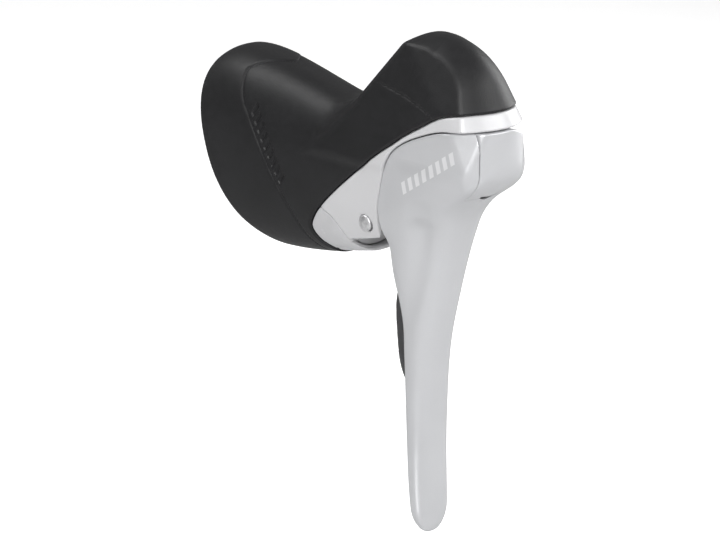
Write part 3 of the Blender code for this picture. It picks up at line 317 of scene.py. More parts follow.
# =====================================================================================
# meshing: a net of quads over the zero surface of a field
# =====================================================================================
def surface(func, lo, hi, h, band=1.25, relax=2):
    lo, hi = np.array(lo, float), np.array(hi, float)
    K = 4
    nc = np.maximum(np.ceil((hi - lo) / (K * h)).astype(int), 1)
    n = nc * K + 1
    mid = [lo[k] + K * h * (np.arange(nc[k]) + 0.5) for k in range(3)]
    g = np.meshgrid(*mid, indexing="ij")
    coarse = func(g[0].ravel(), g[1].ravel(), g[2].ravel()).reshape(nc)
    near = np.abs(coarse) < band * K * h
    up = near
    sign = coarse < 0
    for k in range(3):
        up, sign = np.repeat(up, K, axis=k), np.repeat(sign, K, axis=k)
    todo = np.zeros(n, bool)
    s = np.zeros(n, bool)
    s[:-1, :-1, :-1] = sign
    for a in (slice(0, -1), slice(1, None)):
        for b in (slice(0, -1), slice(1, None)):
            for c in (slice(0, -1), slice(1, None)):
                todo[a, b, c] |= up
    at = np.argwhere(todo)
    v = np.where(s, -9.0, 9.0).astype(np.float32)
    values = np.empty(len(at), np.float32)
    for i in range(0, len(at), 400000):
        p = lo + at[i:i + 400000] * h
        values[i:i + 400000] = func(p[:, 0], p[:, 1], p[:, 2])
    v[todo] = values
    for k in range(3):
        edge = [slice(None)] * 3
        for e in (0, -1):
            edge[k] = e
            v[tuple(edge)] = 1.0
    s = v < 0
    cell = [slice(0, -1), slice(1, None)]
    some = np.zeros(n - 1, bool)
    every = np.ones(n - 1, bool)
    for a in cell:
        for b in cell:
            for c in cell:
                some |= s[a, b, c]
                every &= s[a, b, c]
    active = some & ~every
    cells = np.argwhere(active)
    index = np.full(active.shape, -1, np.int64)
    index[active] = np.arange(len(cells))
    acc, num = np.zeros((len(cells), 3)), np.zeros(len(cells))
    for k in range(3):
        o1, o2 = [j for j in range(3) if j != k]
        for a in (0, 1):
            for b in (0, 1):
                o = [0, 0, 0]
                o[o1], o[o2] = a, b
                p = cells + o
                q = p.copy()
                q[:, k] += 1
                v0, v1 = v[p[:, 0], p[:, 1], p[:, 2]].astype(float), v[q[:, 0], q[:, 1], q[:, 2]].astype(float)
                m = (v0 < 0) != (v1 < 0)
                t = np.where(m, v0 / np.where(m, v0 - v1, 1), 0)
                pt = p.astype(float)
                pt[:, k] += t
                acc[m] += pt[m]
                num[m] += 1
    P = acc / num[:, None] * h + lo
    quads = []
    for k in range(3):
        a, b = [(1, 2), (2, 0), (0, 1)][k]
        s0, s1 = [slice(None)] * 3, [slice(None)] * 3
        s0[k], s1[k] = slice(0, -1), slice(1, None)
        s0, s1 = s[tuple(s0)], s[tuple(s1)]
        e = np.argwhere(s0 != s1)
        e = e[(e[:, a] > 0) & (e[:, b] > 0) & (e[:, a] < n[a] - 1) & (e[:, b] < n[b] - 1)]
        inside = s0[e[:, 0], e[:, 1], e[:, 2]]

        def corner(da, db):
            q = e.copy()
            q[:, a] -= da
            q[:, b] -= db
            return index[q[:, 0], q[:, 1], q[:, 2]]

        quad = np.stack([corner(0, 0), corner(1, 0), corner(1, 1), corner(0, 1)], 1)
        quad[~inside] = quad[~inside][:, ::-1]
        quads.append(quad)
    Q = np.concatenate(quads)
    P = settle(func, P, h)
    for _ in range(relax):
        total, count = np.zeros_like(P), np.zeros(len(P))
        for i in range(4):
            for j in (1, 3):
                q = Q[:, (i + j) % 4]
                for c in range(3):
                    total[:, c] += np.bincount(Q[:, i], weights=P[q, c], minlength=len(P))
                count += np.bincount(Q[:, i], minlength=len(P))
        P = P + 0.5 * (total / np.maximum(count, 1)[:, None] - P)
        P = settle(func, P, h, 1)
    P = settle(func, P, h, 1)
    return P, Q, gradient(func, P, h * 0.2)


def gradient(func, P, e, base=None):
    g = np.empty_like(P)
    for k in range(3):
        a, b = P.copy(), P.copy()
        a[:, k] += e
        b[:, k] -= e
        g[:, k] = (func(a[:, 0], a[:, 1], a[:, 2]) - func(b[:, 0], b[:, 1], b[:, 2])) / (2 * e)
    return g


def settle(func, P, h, times=2):
    """Moves points on to the surface."""
    e = h * 0.25
    for _ in range(times):
        d = func(P[:, 0], P[:, 1], P[:, 2])
        g = np.empty_like(P)
        for k in range(3):
            a = P.copy()
            a[:, k] += e
            g[:, k] = (func(a[:, 0], a[:, 1], a[:, 2]) - d) / e
        step = -(d / np.maximum((g * g).sum(1), 0.05))[:, None] * g
        size = np.linalg.norm(step, axis=1)
        P = P + step * np.minimum(1, 0.5 * h / np.maximum(size, 1e-9))[:, None]
    return P


def make_object(name, points, faces, material, body, stands_for=(), normals=None, smooth=True):
    """points in metres in the row frame."""
    mesh = bpy.data.meshes.new(name)
    faces = np.asarray(faces)
    mesh.vertices.add(len(points))
    mesh.vertices.foreach_set("co", np.asarray(points, np.float32).ravel())
    mesh.loops.add(faces.size)
    mesh.loops.foreach_set("vertex_index", faces.astype(np.int32).ravel())
    mesh.polygons.add(len(faces))
    mesh.polygons.foreach_set("loop_start", (np.arange(len(faces)) * faces.shape[1]).astype(np.int32))
    mesh.update(calc_edges=True)
    mesh.validate()
    mesh.polygons.foreach_set("use_smooth", np.full(len(mesh.polygons), smooth))
    if normals is not None:
        mesh.normals_split_custom_set_from_vertices(np.asarray(normals, np.float32).tolist())
    mesh.materials.append(material)
    obj = bpy.data.objects.new(name, mesh)
    bpy.context.scene.collection.objects.link(obj)
    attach(obj, body)
    if stands_for:
        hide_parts(*stands_for)
    return obj


def formed(name, func, lo, hi, h, material, body, stands_for=(), band=1.25, relax=2, to_row=None):
    """A piece meshed from a field of (w, f, u), or of local coordinates with to_row given."""
    P, Q, N = surface(func, lo, hi, h, band, relax)
    N = N / np.maximum(np.linalg.norm(N, axis=1), 1e-9)[:, None]
    if to_row is None:
        P, N = np.stack([-P[:, 0], -P[:, 1], P[:, 2]], 1), np.stack([-N[:, 0], -N[:, 1], N[:, 2]], 1)
    else:
        m = np.array(to_row, float)
        P, N = P @ m[:3, :3].T + m[:3, 3] * 1000, N @ m[:3, :3].T
    print(f"{name}: {len(Q)} quads", flush=True)
    return make_object(name, P / 1000, Q, material, body, stands_for, N)


# =====================================================================================
# materials: every one is procedural, in object coordinates, with sizes in millimetres
# =====================================================================================
class Shader:
    def __init__(self, name, preview):
        self.m = bpy.data.materials.new(name)
        self.m.use_nodes = True
        self.m.diffuse_color = (*preview, 1)
        self.t = self.m.node_tree
        self.p = self.t.nodes["Principled BSDF"]
        self.coord = self.t.nodes.new("ShaderNodeTexCoord").outputs["Object"]

    def node(self, kind, **values):
        n = self.t.nodes.new(kind)
        for k, v in values.items():
            setattr(n, k, v)
        return n

    def link(self, a, b):
        self.t.links.new(a, b)

    def put(self, socket, value):
        if hasattr(value, "is_output"):
            self.link(value, socket)
        else:
            socket.default_value = value

    def math(self, op, a, b=0.0, clamp=False):
        n = self.node("ShaderNodeMath", operation=op, use_clamp=clamp)
        self.put(n.inputs[0], a)
        self.put(n.inputs[1], b)
        return n.outputs[0]

    def ramp(self, value, lo, hi, out_lo=0.0, out_hi=1.0, smooth=True):
        n = self.node("ShaderNodeMapRange", interpolation_type="SMOOTHSTEP" if smooth else "LINEAR")
        self.put(n.inputs[0], value)
        for i, x in zip(range(1, 5), (lo, hi, out_lo, out_hi)):
            self.put(n.inputs[i], x)
        return n.outputs[0]

    def noise(self, size, detail=2.0, rough=0.5, stretch=None, seed=(0.0, 0.0, 0.0)):
        """Noise between 0 and 1 whose features are about this many mm across."""
        mapping = self.node("ShaderNodeMapping")
        self.link(self.coord, mapping.inputs["Vector"])
        k = 1000.0 / size
        s = stretch or (1, 1, 1)
        mapping.inputs["Scale"].default_value = (k * s[0], k * s[1], k * s[2])
        mapping.inputs["Location"].default_value = seed
        n = self.node("ShaderNodeTexNoise")
        n.inputs["Scale"].default_value = 1.0
        n.inputs["Detail"].default_value = detail
        n.inputs["Roughness"].default_value = rough
        self.link(mapping.outputs[0], n.inputs["Vector"])
        return n.outputs["Fac"]

    def cells(self, size, feature="F1", seed=(0.0, 0.0, 0.0)):
        mapping = self.node("ShaderNodeMapping")
        self.link(self.coord, mapping.inputs["Vector"])
        k = 1000.0 / size
        mapping.inputs["Scale"].default_value = (k, k, k)
        mapping.inputs["Location"].default_value = seed
        n = self.node("ShaderNodeTexVoronoi", feature=feature)
        n.inputs["Scale"].default_value = 1.0
        self.link(mapping.outputs[0], n.inputs["Vector"])
        return n.outputs["Distance"]

    def edges(self, lo=0.52, hi=0.62):
        """1 on raised edges."""
        g = self.node("ShaderNodeNewGeometry")
        return self.ramp(g.outputs["Pointiness"], lo, hi)

    def mix(self, fac, a, b):
        n = self.node("ShaderNodeMix", data_type="RGBA")
        self.put(n.inputs[0], fac)
        for i, c in ((6, a), (7, b)):
            self.put(n.inputs[i], c if hasattr(c, "is_output") else (*c, 1.0))
        return n.outputs[2]

    def bump(self, height, depth_mm, normal=None):
        n = self.node("ShaderNodeBump")
        n.inputs["Strength"].default_value = 1.0
        n.inputs["Distance"].default_value = depth_mm / 1000.0
        self.put(n.inputs["Height"], height)
        if normal is not None:
            self.link(normal, n.inputs["Normal"])
        return n.outputs[0]

    def done(self, **inputs):
        for k, v in inputs.items():
            self.put(self.p.inputs[k.replace("_", " ")], v)
        return self.m


def scaled(c, k):
    return tuple(min(1.0, x * k) for x in c)


def rubber(name, colour):
    s = Shader(name, colour)
    large, mid, fine = s.noise(22, 3), s.noise(2.6, 4, 0.6), s.noise(0.34, 2, 0.6)
    pores = s.ramp(s.cells(0.55), 0.05, 0.6)
    tone = s.math("ADD", s.math("MULTIPLY", large, 0.6), s.math("MULTIPLY", mid, 0.4))
    base = s.mix(s.ramp(tone, 0.3, 0.7), scaled(colour, 0.82), scaled(colour, 1.22))
    worn = s.math("MULTIPLY", s.edges(0.515, 0.60), s.ramp(s.noise(3.0, 4, 0.6), 0.35, 0.7))
    base = s.mix(s.math("MULTIPLY", worn, 0.3), base, scaled(colour, 2.2))
    rough = s.ramp(s.math("ADD", s.math("MULTIPLY", mid, 0.5), s.math("MULTIPLY", fine, 0.5)), 0.25, 0.75, 0.40, 0.52)
    height = s.math("ADD", s.math("MULTIPLY", pores, 0.55), s.math("MULTIPLY", fine, 0.6))
    return s.done(Base_Color=base, Roughness=rough, Metallic=0.0, Normal=s.bump(height, 0.018), Specular_IOR_Level=0.42)


def paint(name, colour, metal=0.35, rough=0.36, flake=0.3, wear_by=0.2, bars=False):
    """Satin metallic paint over cast alloy, with a faint orange peel and fine flakes."""
    s = Shader(name, colour)
    large, peel, fine = s.noise(30, 2), s.noise(1.9, 2, 0.5), s.noise(0.16, 1, 0.5)
    base = s.mix(s.ramp(large, 0.3, 0.7), scaled(colour, 0.975), scaled(colour, 1.025))
    base = s.mix(s.math("MULTIPLY", s.ramp(fine, 0.58, 0.72), flake), base, scaled(colour, 1.25))
    wear = s.math("MULTIPLY", s.edges(0.54, 0.62), s.ramp(s.noise(2.2, 5, 0.65), 0.46, 0.66))
    base = s.mix(s.math("MULTIPLY", wear, wear_by), base, scaled(colour, 1.3))
    if bars:
        base = s.mix(s.math("MULTIPLY", painted_bars(s), 0.6), base, (0.92, 0.92, 0.93))
    r = s.ramp(s.math("ADD", s.math("MULTIPLY", peel, 0.5), s.math("MULTIPLY", s.noise(6, 4, 0.6), 0.5)), 0.3, 0.7, rough - 0.04, rough + 0.05)
    n = s.bump(s.math("ADD", s.math("MULTIPLY", peel, 1.0), s.math("MULTIPLY", fine, 0.25)), 0.012)
    return s.done(Base_Color=base, Roughness=r, Metallic=metal, Normal=n, Coat_Weight=0.4, Coat_Roughness=0.16)


def painted_bars(s):
    """A plain row of eight short light bars on the outboard flank, rising forward: 1 on a bar."""
    split = s.node("ShaderNodeSeparateXYZ")
    s.link(s.coord, split.inputs[0])
    x, y, z = split.outputs
    along = s.math("ADD", s.math("MULTIPLY", y, -836.6), s.math("MULTIPLY", z, 547.4))
    along = s.math("SUBTRACT", along, 64.74)
    across = s.math("ADD", s.math("MULTIPLY", y, 547.4), s.math("MULTIPLY", z, 836.6))
    across = s.math("ADD", across, 47.14)
    slanted = s.math("ADD", along, s.math("MULTIPLY", across, -0.3))
    bar = s.ramp(s.math("PINGPONG", s.math("ADD", slanted, 36.0), 1.8), 0.72, 0.86)
    high = s.ramp(s.math("ABSOLUTE", across), 1.9, 2.05, 1.0, 0.0)
    inside = s.math("MULTIPLY", s.ramp(slanted, 0.0, 0.1), s.ramp(slanted, 28.8, 28.9, 1.0, 0.0))
    near = s.ramp(x, -0.0125, -0.012, 1.0, 0.0)
    return s.math("MULTIPLY", s.math("MULTIPLY", bar, high), s.math("MULTIPLY", inside, near))


def moulded(name, colour, rough=0.48, grain=0.4, depth=0.016):
    """Moulded resin with a fine spark-eroded grain, slightly polished on its edges."""
    s = Shader(name, colour)
    large, mid, fine = s.noise(16, 3), s.noise(1.4, 4, 0.6), s.noise(grain, 2, 0.6)
    base = s.mix(s.ramp(large, 0.3, 0.7), scaled(colour, 0.94), scaled(colour, 1.06))
    base = s.mix(s.math("MULTIPLY", s.ramp(mid, 0.5, 0.75), 0.25), base, scaled(colour, 0.86))
    worn = s.math("MULTIPLY", s.edges(), s.ramp(s.noise(1.8, 4, 0.6), 0.4, 0.65))
    base = s.mix(s.math("MULTIPLY", worn, 0.4), base, scaled(colour, 1.35))
    r = s.ramp(fine, 0.3, 0.7, rough - 0.06, rough + 0.08)
    return s.done(Base_Color=base, Roughness=r, Metallic=0.0, Normal=s.bump(fine, depth), Specular_IOR_Level=0.45)


def cast(name, colour):
    """Bead-blasted die casting."""
    s = Shader(name, colour)
    mid, fine = s.noise(2.4, 4, 0.6), s.noise(0.28, 2, 0.6)
    dimples = s.ramp(s.cells(0.38), 0.1, 0.7)
    base = s.mix(s.ramp(mid, 0.3, 0.7), scaled(colour, 0.88), scaled(colour, 1.1))
    worn = s.math("MULTIPLY", s.edges(), s.ramp(s.noise(1.6, 4, 0.6), 0.4, 0.6))
    base = s.mix(s.math("MULTIPLY", worn, 0.6), base, scaled(colour, 1.5))
    return s.done(Base_Color=base, Roughness=s.ramp(fine, 0.3, 0.7, 0.36, 0.5), Metallic=0.9, Normal=s.bump(s.math("ADD", dimples, fine), 0.018))


def steel(name, colour, rough=0.3, metal=1.0, lines=(1, 1, 1), tint=None, size=0.5, marks=0.012, spots=0.35, wear=0.7):
    """Rolled, turned or plated steel: fine drawn lines, a soft mottle and brighter worn edges."""
    s = Shader(name, colour)
    drawn = s.noise(size, 3, 0.6, lines)
    mottle, stain = s.noise(1.7, 4, 0.6), s.noise(0.5, 5, 0.7, seed=(7.0, 3.0, 1.0))
    base = s.mix(s.ramp(mottle, 0.3, 0.7), scaled(colour, 0.82), scaled(colour, 1.15))
    if tint:
        base = s.mix(s.math("MULTIPLY", s.ramp(stain, 0.52, 0.75), spots), base, tint)
    worn = s.math("MULTIPLY", s.edges(0.515, 0.58), s.ramp(s.noise(0.9, 4, 0.6), 0.35, 0.6))
    base = s.mix(s.math("MULTIPLY", worn, wear), base, scaled(colour, 1.9))
    r = s.ramp(s.math("ADD", s.math("MULTIPLY", drawn, 0.6), s.math("MULTIPLY", mottle, 0.4)), 0.3, 0.7, rough - 0.07, rough + 0.1)
    return s.done(Base_Color=base, Roughness=r, Metallic=metal, Normal=s.bump(drawn, marks))


def bronze(name, colour):
    s = Shader(name, colour)
    pores, mid = s.ramp(s.cells(0.3), 0.05, 0.35), s.noise(1.2, 4, 0.6)
    base = s.mix(s.ramp(mid, 0.3, 0.7), scaled(colour, 0.75), scaled(colour, 1.15))
    base = s.mix(s.math("MULTIPLY", s.ramp(s.cells(0.3), 0.0, 0.22, 1.0, 0.0), 0.5), base, (0.10, 0.06, 0.02))
    return s.done(Base_Color=base, Roughness=s.ramp(mid, 0.3, 0.7, 0.3, 0.45), Metallic=1.0, Normal=s.bump(pores, 0.02))


M = {
    "hood_rubber": rubber("hood_rubber", (0.0105, 0.0105, 0.0115)),
    "bracket_grey": paint("bracket_grey", (0.60, 0.60, 0.61), 0.12, 0.42, 0.2),
    "cover_resin": moulded("cover_resin", (0.50, 0.50, 0.51), 0.5, 0.45, 0.02),
    "lever_silver": paint("lever_silver", (0.585, 0.59, 0.605), 0.35, 0.32, 0.2, 0.1, True),
    "nose_silver": paint("nose_silver", (0.585, 0.59, 0.605), 0.35, 0.32, 0.1, 0.0),
    "support_alloy": cast("support_alloy", (0.50, 0.50, 0.51)),
    "paddle_resin": moulded("paddle_resin", (0.035, 0.035, 0.038), 0.42, 0.4, 0.018),
    "drum_resin": moulded("drum_resin", (0.03, 0.03, 0.034), 0.4, 0.5, 0.01),
    "band_steel": steel("band_steel", (0.50, 0.50, 0.51), 0.34, 0.9, lines=(1, 5, 5), size=2.4, marks=0.002, wear=0.0),
    "fastener_steel": steel("fastener_steel", (0.11, 0.11, 0.115), 0.38, 0.95, tint=(0.05, 0.045, 0.04), size=0.4),
    "hard_steel": steel("hard_steel", (0.27, 0.265, 0.27), 0.33, tint=(0.16, 0.11, 0.06), size=0.35),
    "bright_steel": steel("bright_steel", (0.56, 0.56, 0.57), 0.22, size=0.35, marks=0.006),
    "pin_steel": steel("pin_steel", (0.74, 0.74, 0.75), 0.34, 0.8, size=0.35, marks=0.004),
    "bush_bronze": bronze("bush_bronze", (0.50, 0.34, 0.14)),
}


# =====================================================================================
# the rubber hood
# =====================================================================================
def step_line(w, f, u):
    """The step line round the hood's rear, which sweeps forward over the top: distance (positive behind it) and length along it."""
    g = f - 1.15 * np.maximum(13.0 - np.sqrt(w * w + 6), 0) * ease(u, 12, 19)
    return GROOVE(g, u), GROOVE_S(g, u)


def hood_outer(w, f, u):
    d = envelope(w, f, u)
    rear, along = step_line(w, f, u)
    fade = ease(-f, -38, -30)
    d = d - 0.28 / (1 + np.exp(-np.clip(rear / 0.3, -30, 30))) * ease(u, -47, -38) * ease(-f, -30, -12)
    d = d + 0.26 * np.exp(-((rear + 0.45) / 0.42) ** 2) * fade
    d = d + 0.26 * np.exp(-(SHELF(f, u) / 0.4) ** 2) * ease(f, 62, 70) * ease(np.abs(w), 9, 12)
    return d + 0.5 * marks(w, rear, along)


def marks(w, rear, along):
    """A plain row of short slanted bars sunk into each side, in front of the step line."""
    m = np.minimum(ease(-rear, 1.7, 2.2), ease(rear, -5.9, -5.4))
    k = (along + 0.45 * rear - MARK_START) / 3.3
    bar = ease(np.abs(k - np.round(k)) * -3.3, -1.05, -0.6)
    return m * bar * ease(k, -0.5, -0.45) * ease(-k, -8.5, -8.45) * ease(np.abs(w), 5, 7)


def hood(w, f, u):
    d = smax(hood_outer(w, f, u), -(envelope(w, f, u) + HOOD_WALL), 0.5)
    d = smax(d, -TRIM(f, u), 1.1)
    return smax(d, RIM(f, u), 1.8)


formed("rubber_hood_skin", hood, (-22.4, -29, -50), (22.4, 118, 50), 0.6, M["hood_rubber"], "bracket", ["rubber_hood"], band=1.5)


# =====================================================================================
# the bracket: full size where it shows, thinner where the hood covers it
# =====================================================================================
def bracket(w, f, u):
    e, trim = envelope(w, f, u), TRIM(f, u)
    ear, split = np.maximum(EAR(f, u), u + 14), SPLIT(f, u)
    seen = smax(smax(e + SKIN, trim + GAP, 0.5), -ear, 0.45)
    d = np.minimum(seen, e + UNDER_HOOD)
    d = smax(d, -split, 1.0)
    d = smax(d, -np.maximum(ear, 51 - f), 0.8)
    s, y, z = bar_frame(w, f, u)
    d = np.maximum(d, 3 - s)
    d = smax(d, 12.06 - np.hypot(s, y), 0.5)
    d = smax(d, REAR(f, u), 0.5)
    d = smax(d, -box3(w, f, u, (-11.6, 50, -60), (11.6, 78, 8)), 0.6)
    d = smax(d, -np.maximum(np.maximum(e + 5.2, 70.2 - f), 5 - u), 0.6)
    pin = np.hypot(f - AXLE[0], u - AXLE[1])
    d = smax(d, 3.05 - pin, 0.3)
    d = smax(d, -np.maximum(pin - 3.6, 15.2 - w), 0.3)
    d = smax(d, -box3(s, y, z, (-20, -19, -7.7), (13.2, -8, 7.7)), 0.4)
    d = smax(d, -box3(s, y, z, (-20, 11.7, -7.7), (11.8, 13.7, 7.7)), 0.4)
    d = smax(d, -box3(s, y, z, (9.4, 11.7, -7.7), (11.8, 18.5, 7.7)), 0.4)
    bolt = np.hypot(y + 11.6, z)
    d = smax(d, -np.maximum(bolt - 2.9, slab(s, 0, 30)), 0.3)
    d = smax(d, -np.maximum(bolt - 3.4, slab(s, 24.6, 60)), 0.3)
    d = smax(d, -box3(s, y, z, (24.9, -22, -3), (48, -11.2, 3)), 0.5)
    for at, rise in ((7.0, 11.9), (-7.0, 10.9)):
        along = -0.9569 * (f - 24) + 0.2904 * (u - rise)
        across = np.hypot(w - at, 0.2904 * (f - 24) + 0.9569 * (u - rise))
        d = smax(d, -np.maximum(across - 3.1, -along), 0.3)
        d = smax(d, -np.maximum(across - 1.3, slab(along, -45, 5)), 0.2)
    foot = np.hypot(w, f - 42)
    d = smax(d, -np.maximum(foot - 1.5, u + 28), 0.2)
    d = smax(d, -np.maximum(foot - 2.7, u + 34), 0.2)
    d = smax(d, -np.maximum(np.hypot(w + 13.8, f - AXLE[0]) - 1.7, u - AXLE[1] + 1), 0.2)
    return d


formed("bracket_casting", bracket, (-19, -12, -45), (19, 116, 46), 0.62, M["bracket_grey"], "bracket", ["bracket_body"], band=1.5)


def cover(w, f, u):
    e = envelope(w, f, u)
    d = smax(e + SKIN, -(e + 2.4), 0.4)
    d = smax(d, EAR(f, u) + 0.16, 0.35)
    d = smax(d, TRIM(f, u) + GAP, 0.6)
    d = smax(d, f - 54.5, 0.8)
    rim = np.hypot(w, f - 42)
    d = smax(d, 2.7 - rim, 0.3)
    ribs = 0.28 * bump01(np.hypot(w / 9.0, (f - 42) / 6.4) - 1, 0.07)
    return d + ribs


formed("under_cover_shell", cover, (-18, 18, -46), (18, 64, -10), 0.5, M["cover_resin"], "bracket", ["under_cover"], band=1.6)


# =====================================================================================
# the main lever with its blade, and the nose cap
# =====================================================================================
SWINGS = [math.radians(a) for a in (0, 4, 8, 12, 16, 20.8)]


def clear_of_bracket(w, f, u):
    """How far past the bracket's edge a point comes, over the main lever's whole swing."""
    x, y, t = shift_frame(w, f, u)
    worst = None
    for a in SWINGS:
        v = x * math.sin(a) + y * math.cos(a)
        g = SPLIT(*t_point(t, v)) + GAP
        worst = g if worst is None else np.maximum(worst, g)
    return worst


def lever(w, f, u):
    d = lever_form(w, f, u)
    x, y, t = shift_frame(w, f, u)
    d = smax(d, clear_of_bracket(w, f, u), 0.8)
    hollow = smax(smax(head(w, f, u) + 1.9, t - 5.6, 1.0), np.maximum(-12.4 - u, u - 24), 0.8)
    d = smax(d, -hollow, 0.6)
    flute = np.exp(-((f - 86.3 - 0.2 * (u + 17)) / 4.2) ** 2) * ease(u, -66, -34) * ease(w, 3, 7)
    d = d + flute * (0.8 * ease(-u, 5, 10) + 1.6 * ease(-u, 12, 18))
    d = smax(d, -box3(x, y, t, (-14, -13.6, -40), (14, 40, -10)), 0.6)
    d = smax(d, -box3(x, y, t, (-13.9, -32, -40), (13.9, -13, -20.5)), 0.6)
    d = smax(d, -box3(x, y, t, (-5.5, -48, -40), (10.8, -8, -15.5)), 0.6)
    d = smax(d, -box3(x, y, t, (8, -47.8, -39), (17, -30, -15.6)), 0.6)
    r = np.hypot(x, y)
    d = smax(d, -np.maximum(r - 5.25, -t), 0.3)
    d = smax(d, -np.maximum(r - 5.2, 8.2 - t), 0.3)
    d = smax(d, -np.maximum(np.maximum(104.2 - f, -7.5 - u), np.abs(w) - 10.05), 0.3)
    a = math.radians(55)
    d = smax(d, -np.maximum(np.hypot(x - 12 * math.cos(a), y - 12 * math.sin(a)) - 1.25, np.maximum(-t, t - 7.4)), 0.2)
    d = smax(d, -np.maximum(np.hypot(f - 107.6, u - 12.6) - 2.4, w + 9.8), 0.2)
    return d


formed("main_lever_forging", lever, (-20, 62, -129), (17.5, 113, 22), 0.55, M["lever_silver"], "main_lever", ["main_lever"], band=1.6)


def cap(w, f, u):
    d = smax(head(w, f, u), 104.45 - f, 0.4)
    d = smax(d, np.abs(w) - 9.93, 0.3)
    d = smax(d, clear_of_bracket(w, f, u), 0.8)
    x, y, t = shift_frame(w, f, u)
    d = smax(d, -np.maximum(np.hypot(x, y) - 5.2, t - 12.9), 0.3)
    d = np.maximum(d, -7.2 - u)
    return smax(d, -np.maximum(np.hypot(f - 107.6, u - 12.6) - 1.3, w + 4), 0.2)


formed("nose_cap_shell", cap, (-11, 103, -9), (11, 116, 24), 0.4, M["nose_silver"], "main_lever", ["nose_cap"], band=1.8)


# =====================================================================================
# the release paddle
# =====================================================================================
def paddle(w, f, u):
    x, v, t = shift_frame(w, f, u)
    k = np.clip((-38.5 - v) / 51.5, 0, 1)
    t0 = -18.5 - 9.5 * np.sin(math.pi * np.minimum(1, 0.15 + 0.75 * k)) ** 0.8
    t1 = -18.5 + np.where(k > 0.16, 5.0 * (k - 0.16), 0)
    s = np.clip((t - t0) / np.maximum(t1 - t0, 1), -0.2, 1.2)
    mid = 1.2 + 3.6 * k * k + 1.8 * (1 - s) ** 2
    d = np.abs(x - mid) - 0.9
    edge = np.maximum(t0 - t, t - t1)
    end = np.maximum(-38.5 - v + 0 * v, 0)
    ends = np.maximum(-90 - v, v + 38.5)
    plan = smax(edge, ends, 6)
    d = smax(d, plan, 1.3)
    dimple = 0.35 * bump01(np.hypot((t - (t0 + t1) / 2) / 3.6, (v + 76) / 8.0) , 1.0)
    d = d + np.where(x > mid, 0, dimple)
    foot = box3(x, v, t, (-1.4, -47, -21), (3.9, -38, -18.3), 0.6)
    d = smin(d, foot, 0.8)
    for z in (-40.6, -44.6):
        d = smax(d, -np.maximum(np.hypot(x - 1.2, v - z) - 1.15, np.maximum(-28 - t, t + 15)), 0.2)
    return d


formed("release_paddle_blade", paddle, (-10, 58, -94), (5, 88, -30), 0.4, M["paddle_resin"], "release_lever", ["release_paddle"], band=2.2)


# =====================================================================================
# a small turned piece, finer than the CAD's
# =====================================================================================
def lathe(name, profile, at, axis, material, body, stands_for, n=96):
    """A profile of (radius, height) turned about an axis; at and axis are (w, f, u)."""
    centre, z = Vector((-at[0], -at[1], at[2])) / 1000, Vector((-axis[0], -axis[1], axis[2])).normalized()
    x = z.orthogonal().normalized()
    y = z.cross(x)
    points, faces = [], []
    for r, h in profile:
        for i in range(n):
            a = 2 * math.pi * i / n
            points.append(centre + (x * math.cos(a) + y * math.sin(a)) * (max(r, 1e-4) / 1000) + z * (h / 1000))
    for k in range(len(profile) - 1):
        for i in range(n):
            j = (i + 1) % n
            faces.append((k * n + i, k * n + j, (k + 1) * n + j, (k + 1) * n + i))
    mesh = bpy.data.meshes.new(name)
    mesh.from_pydata([tuple(p) for p in points], [], faces + [tuple(range(n))[::-1], tuple((len(profile) - 1) * n + i for i in range(n))])
    mesh.update()
    mesh.polygons.foreach_set("use_smooth", [True] * len(mesh.polygons))
    mesh.set_sharp_from_angle(angle=math.radians(40))
    mesh.materials.append(material)
    obj = bpy.data.objects.new(name, mesh)
    bpy.context.scene.collection.objects.link(obj)
    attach(obj, body)
    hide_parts(*stands_for)
    return obj


dome = [(2.95 * math.sin(math.radians(a)), 14.75 + 0.95 * math.cos(math.radians(a))) for a in range(84, -1, -6)]
lathe("brake_axle_pin", [(r, -h) for r, h in dome[::-1]] + [(2.95, -14.4), (2.8, -14.2), (2.8, 14.2), (2.95, 14.4)] + dome, (0, *AXLE), (1, 0, 0), M["pin_steel"], "bracket", ["lever_axle"])


# =====================================================================================
# CAD nodes that stay, with their finishes
# =====================================================================================
FINISH = {
    "clamp_band": "band_steel", "clamp_bolt": "fastener_steel", "clamp_nut": "fastener_steel",
    "axle_set_screw": "fastener_steel", "brake_return_spring": "bright_steel",
    "under_cover_screw": "fastener_steel", "brake_casing_stop": "fastener_steel", "shift_casing_stop": "fastener_steel",
    "lever_support": "support_alloy", "axle_bush_outboard": "bush_bronze", "axle_bush_inboard": "bush_bronze",
    "shift_axle": "bright_steel", "shift_axle_nut": "fastener_steel", "wave_washer": "bright_steel",
    "index_plate": "hard_steel", "holding_pawl_pin": "bright_steel", "drum_spring": "bright_steel",
    "main_return_spring": "bright_steel", "cable_hook": "bright_steel", "reach_adjust_screw": "fastener_steel",
    "cable_drum": "drum_resin", "index_ratchet": "hard_steel", "pull_ratchet": "hard_steel",
    "holding_pawl": "hard_steel", "main_lever_bush": "bush_bronze", "nose_cap_screw": "fastener_steel",
    "pull_pawl_pin": "bright_steel", "pull_pawl": "hard_steel", "release_arm": "band_steel",
    "release_bush": "bush_bronze", "paddle_rivet_upper": "bright_steel", "paddle_rivet_lower": "bright_steel",
}
for name, slot in FINISH.items():
    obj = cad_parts[name]
    obj.data.materials.clear()
    obj.data.materials.append(M[slot])


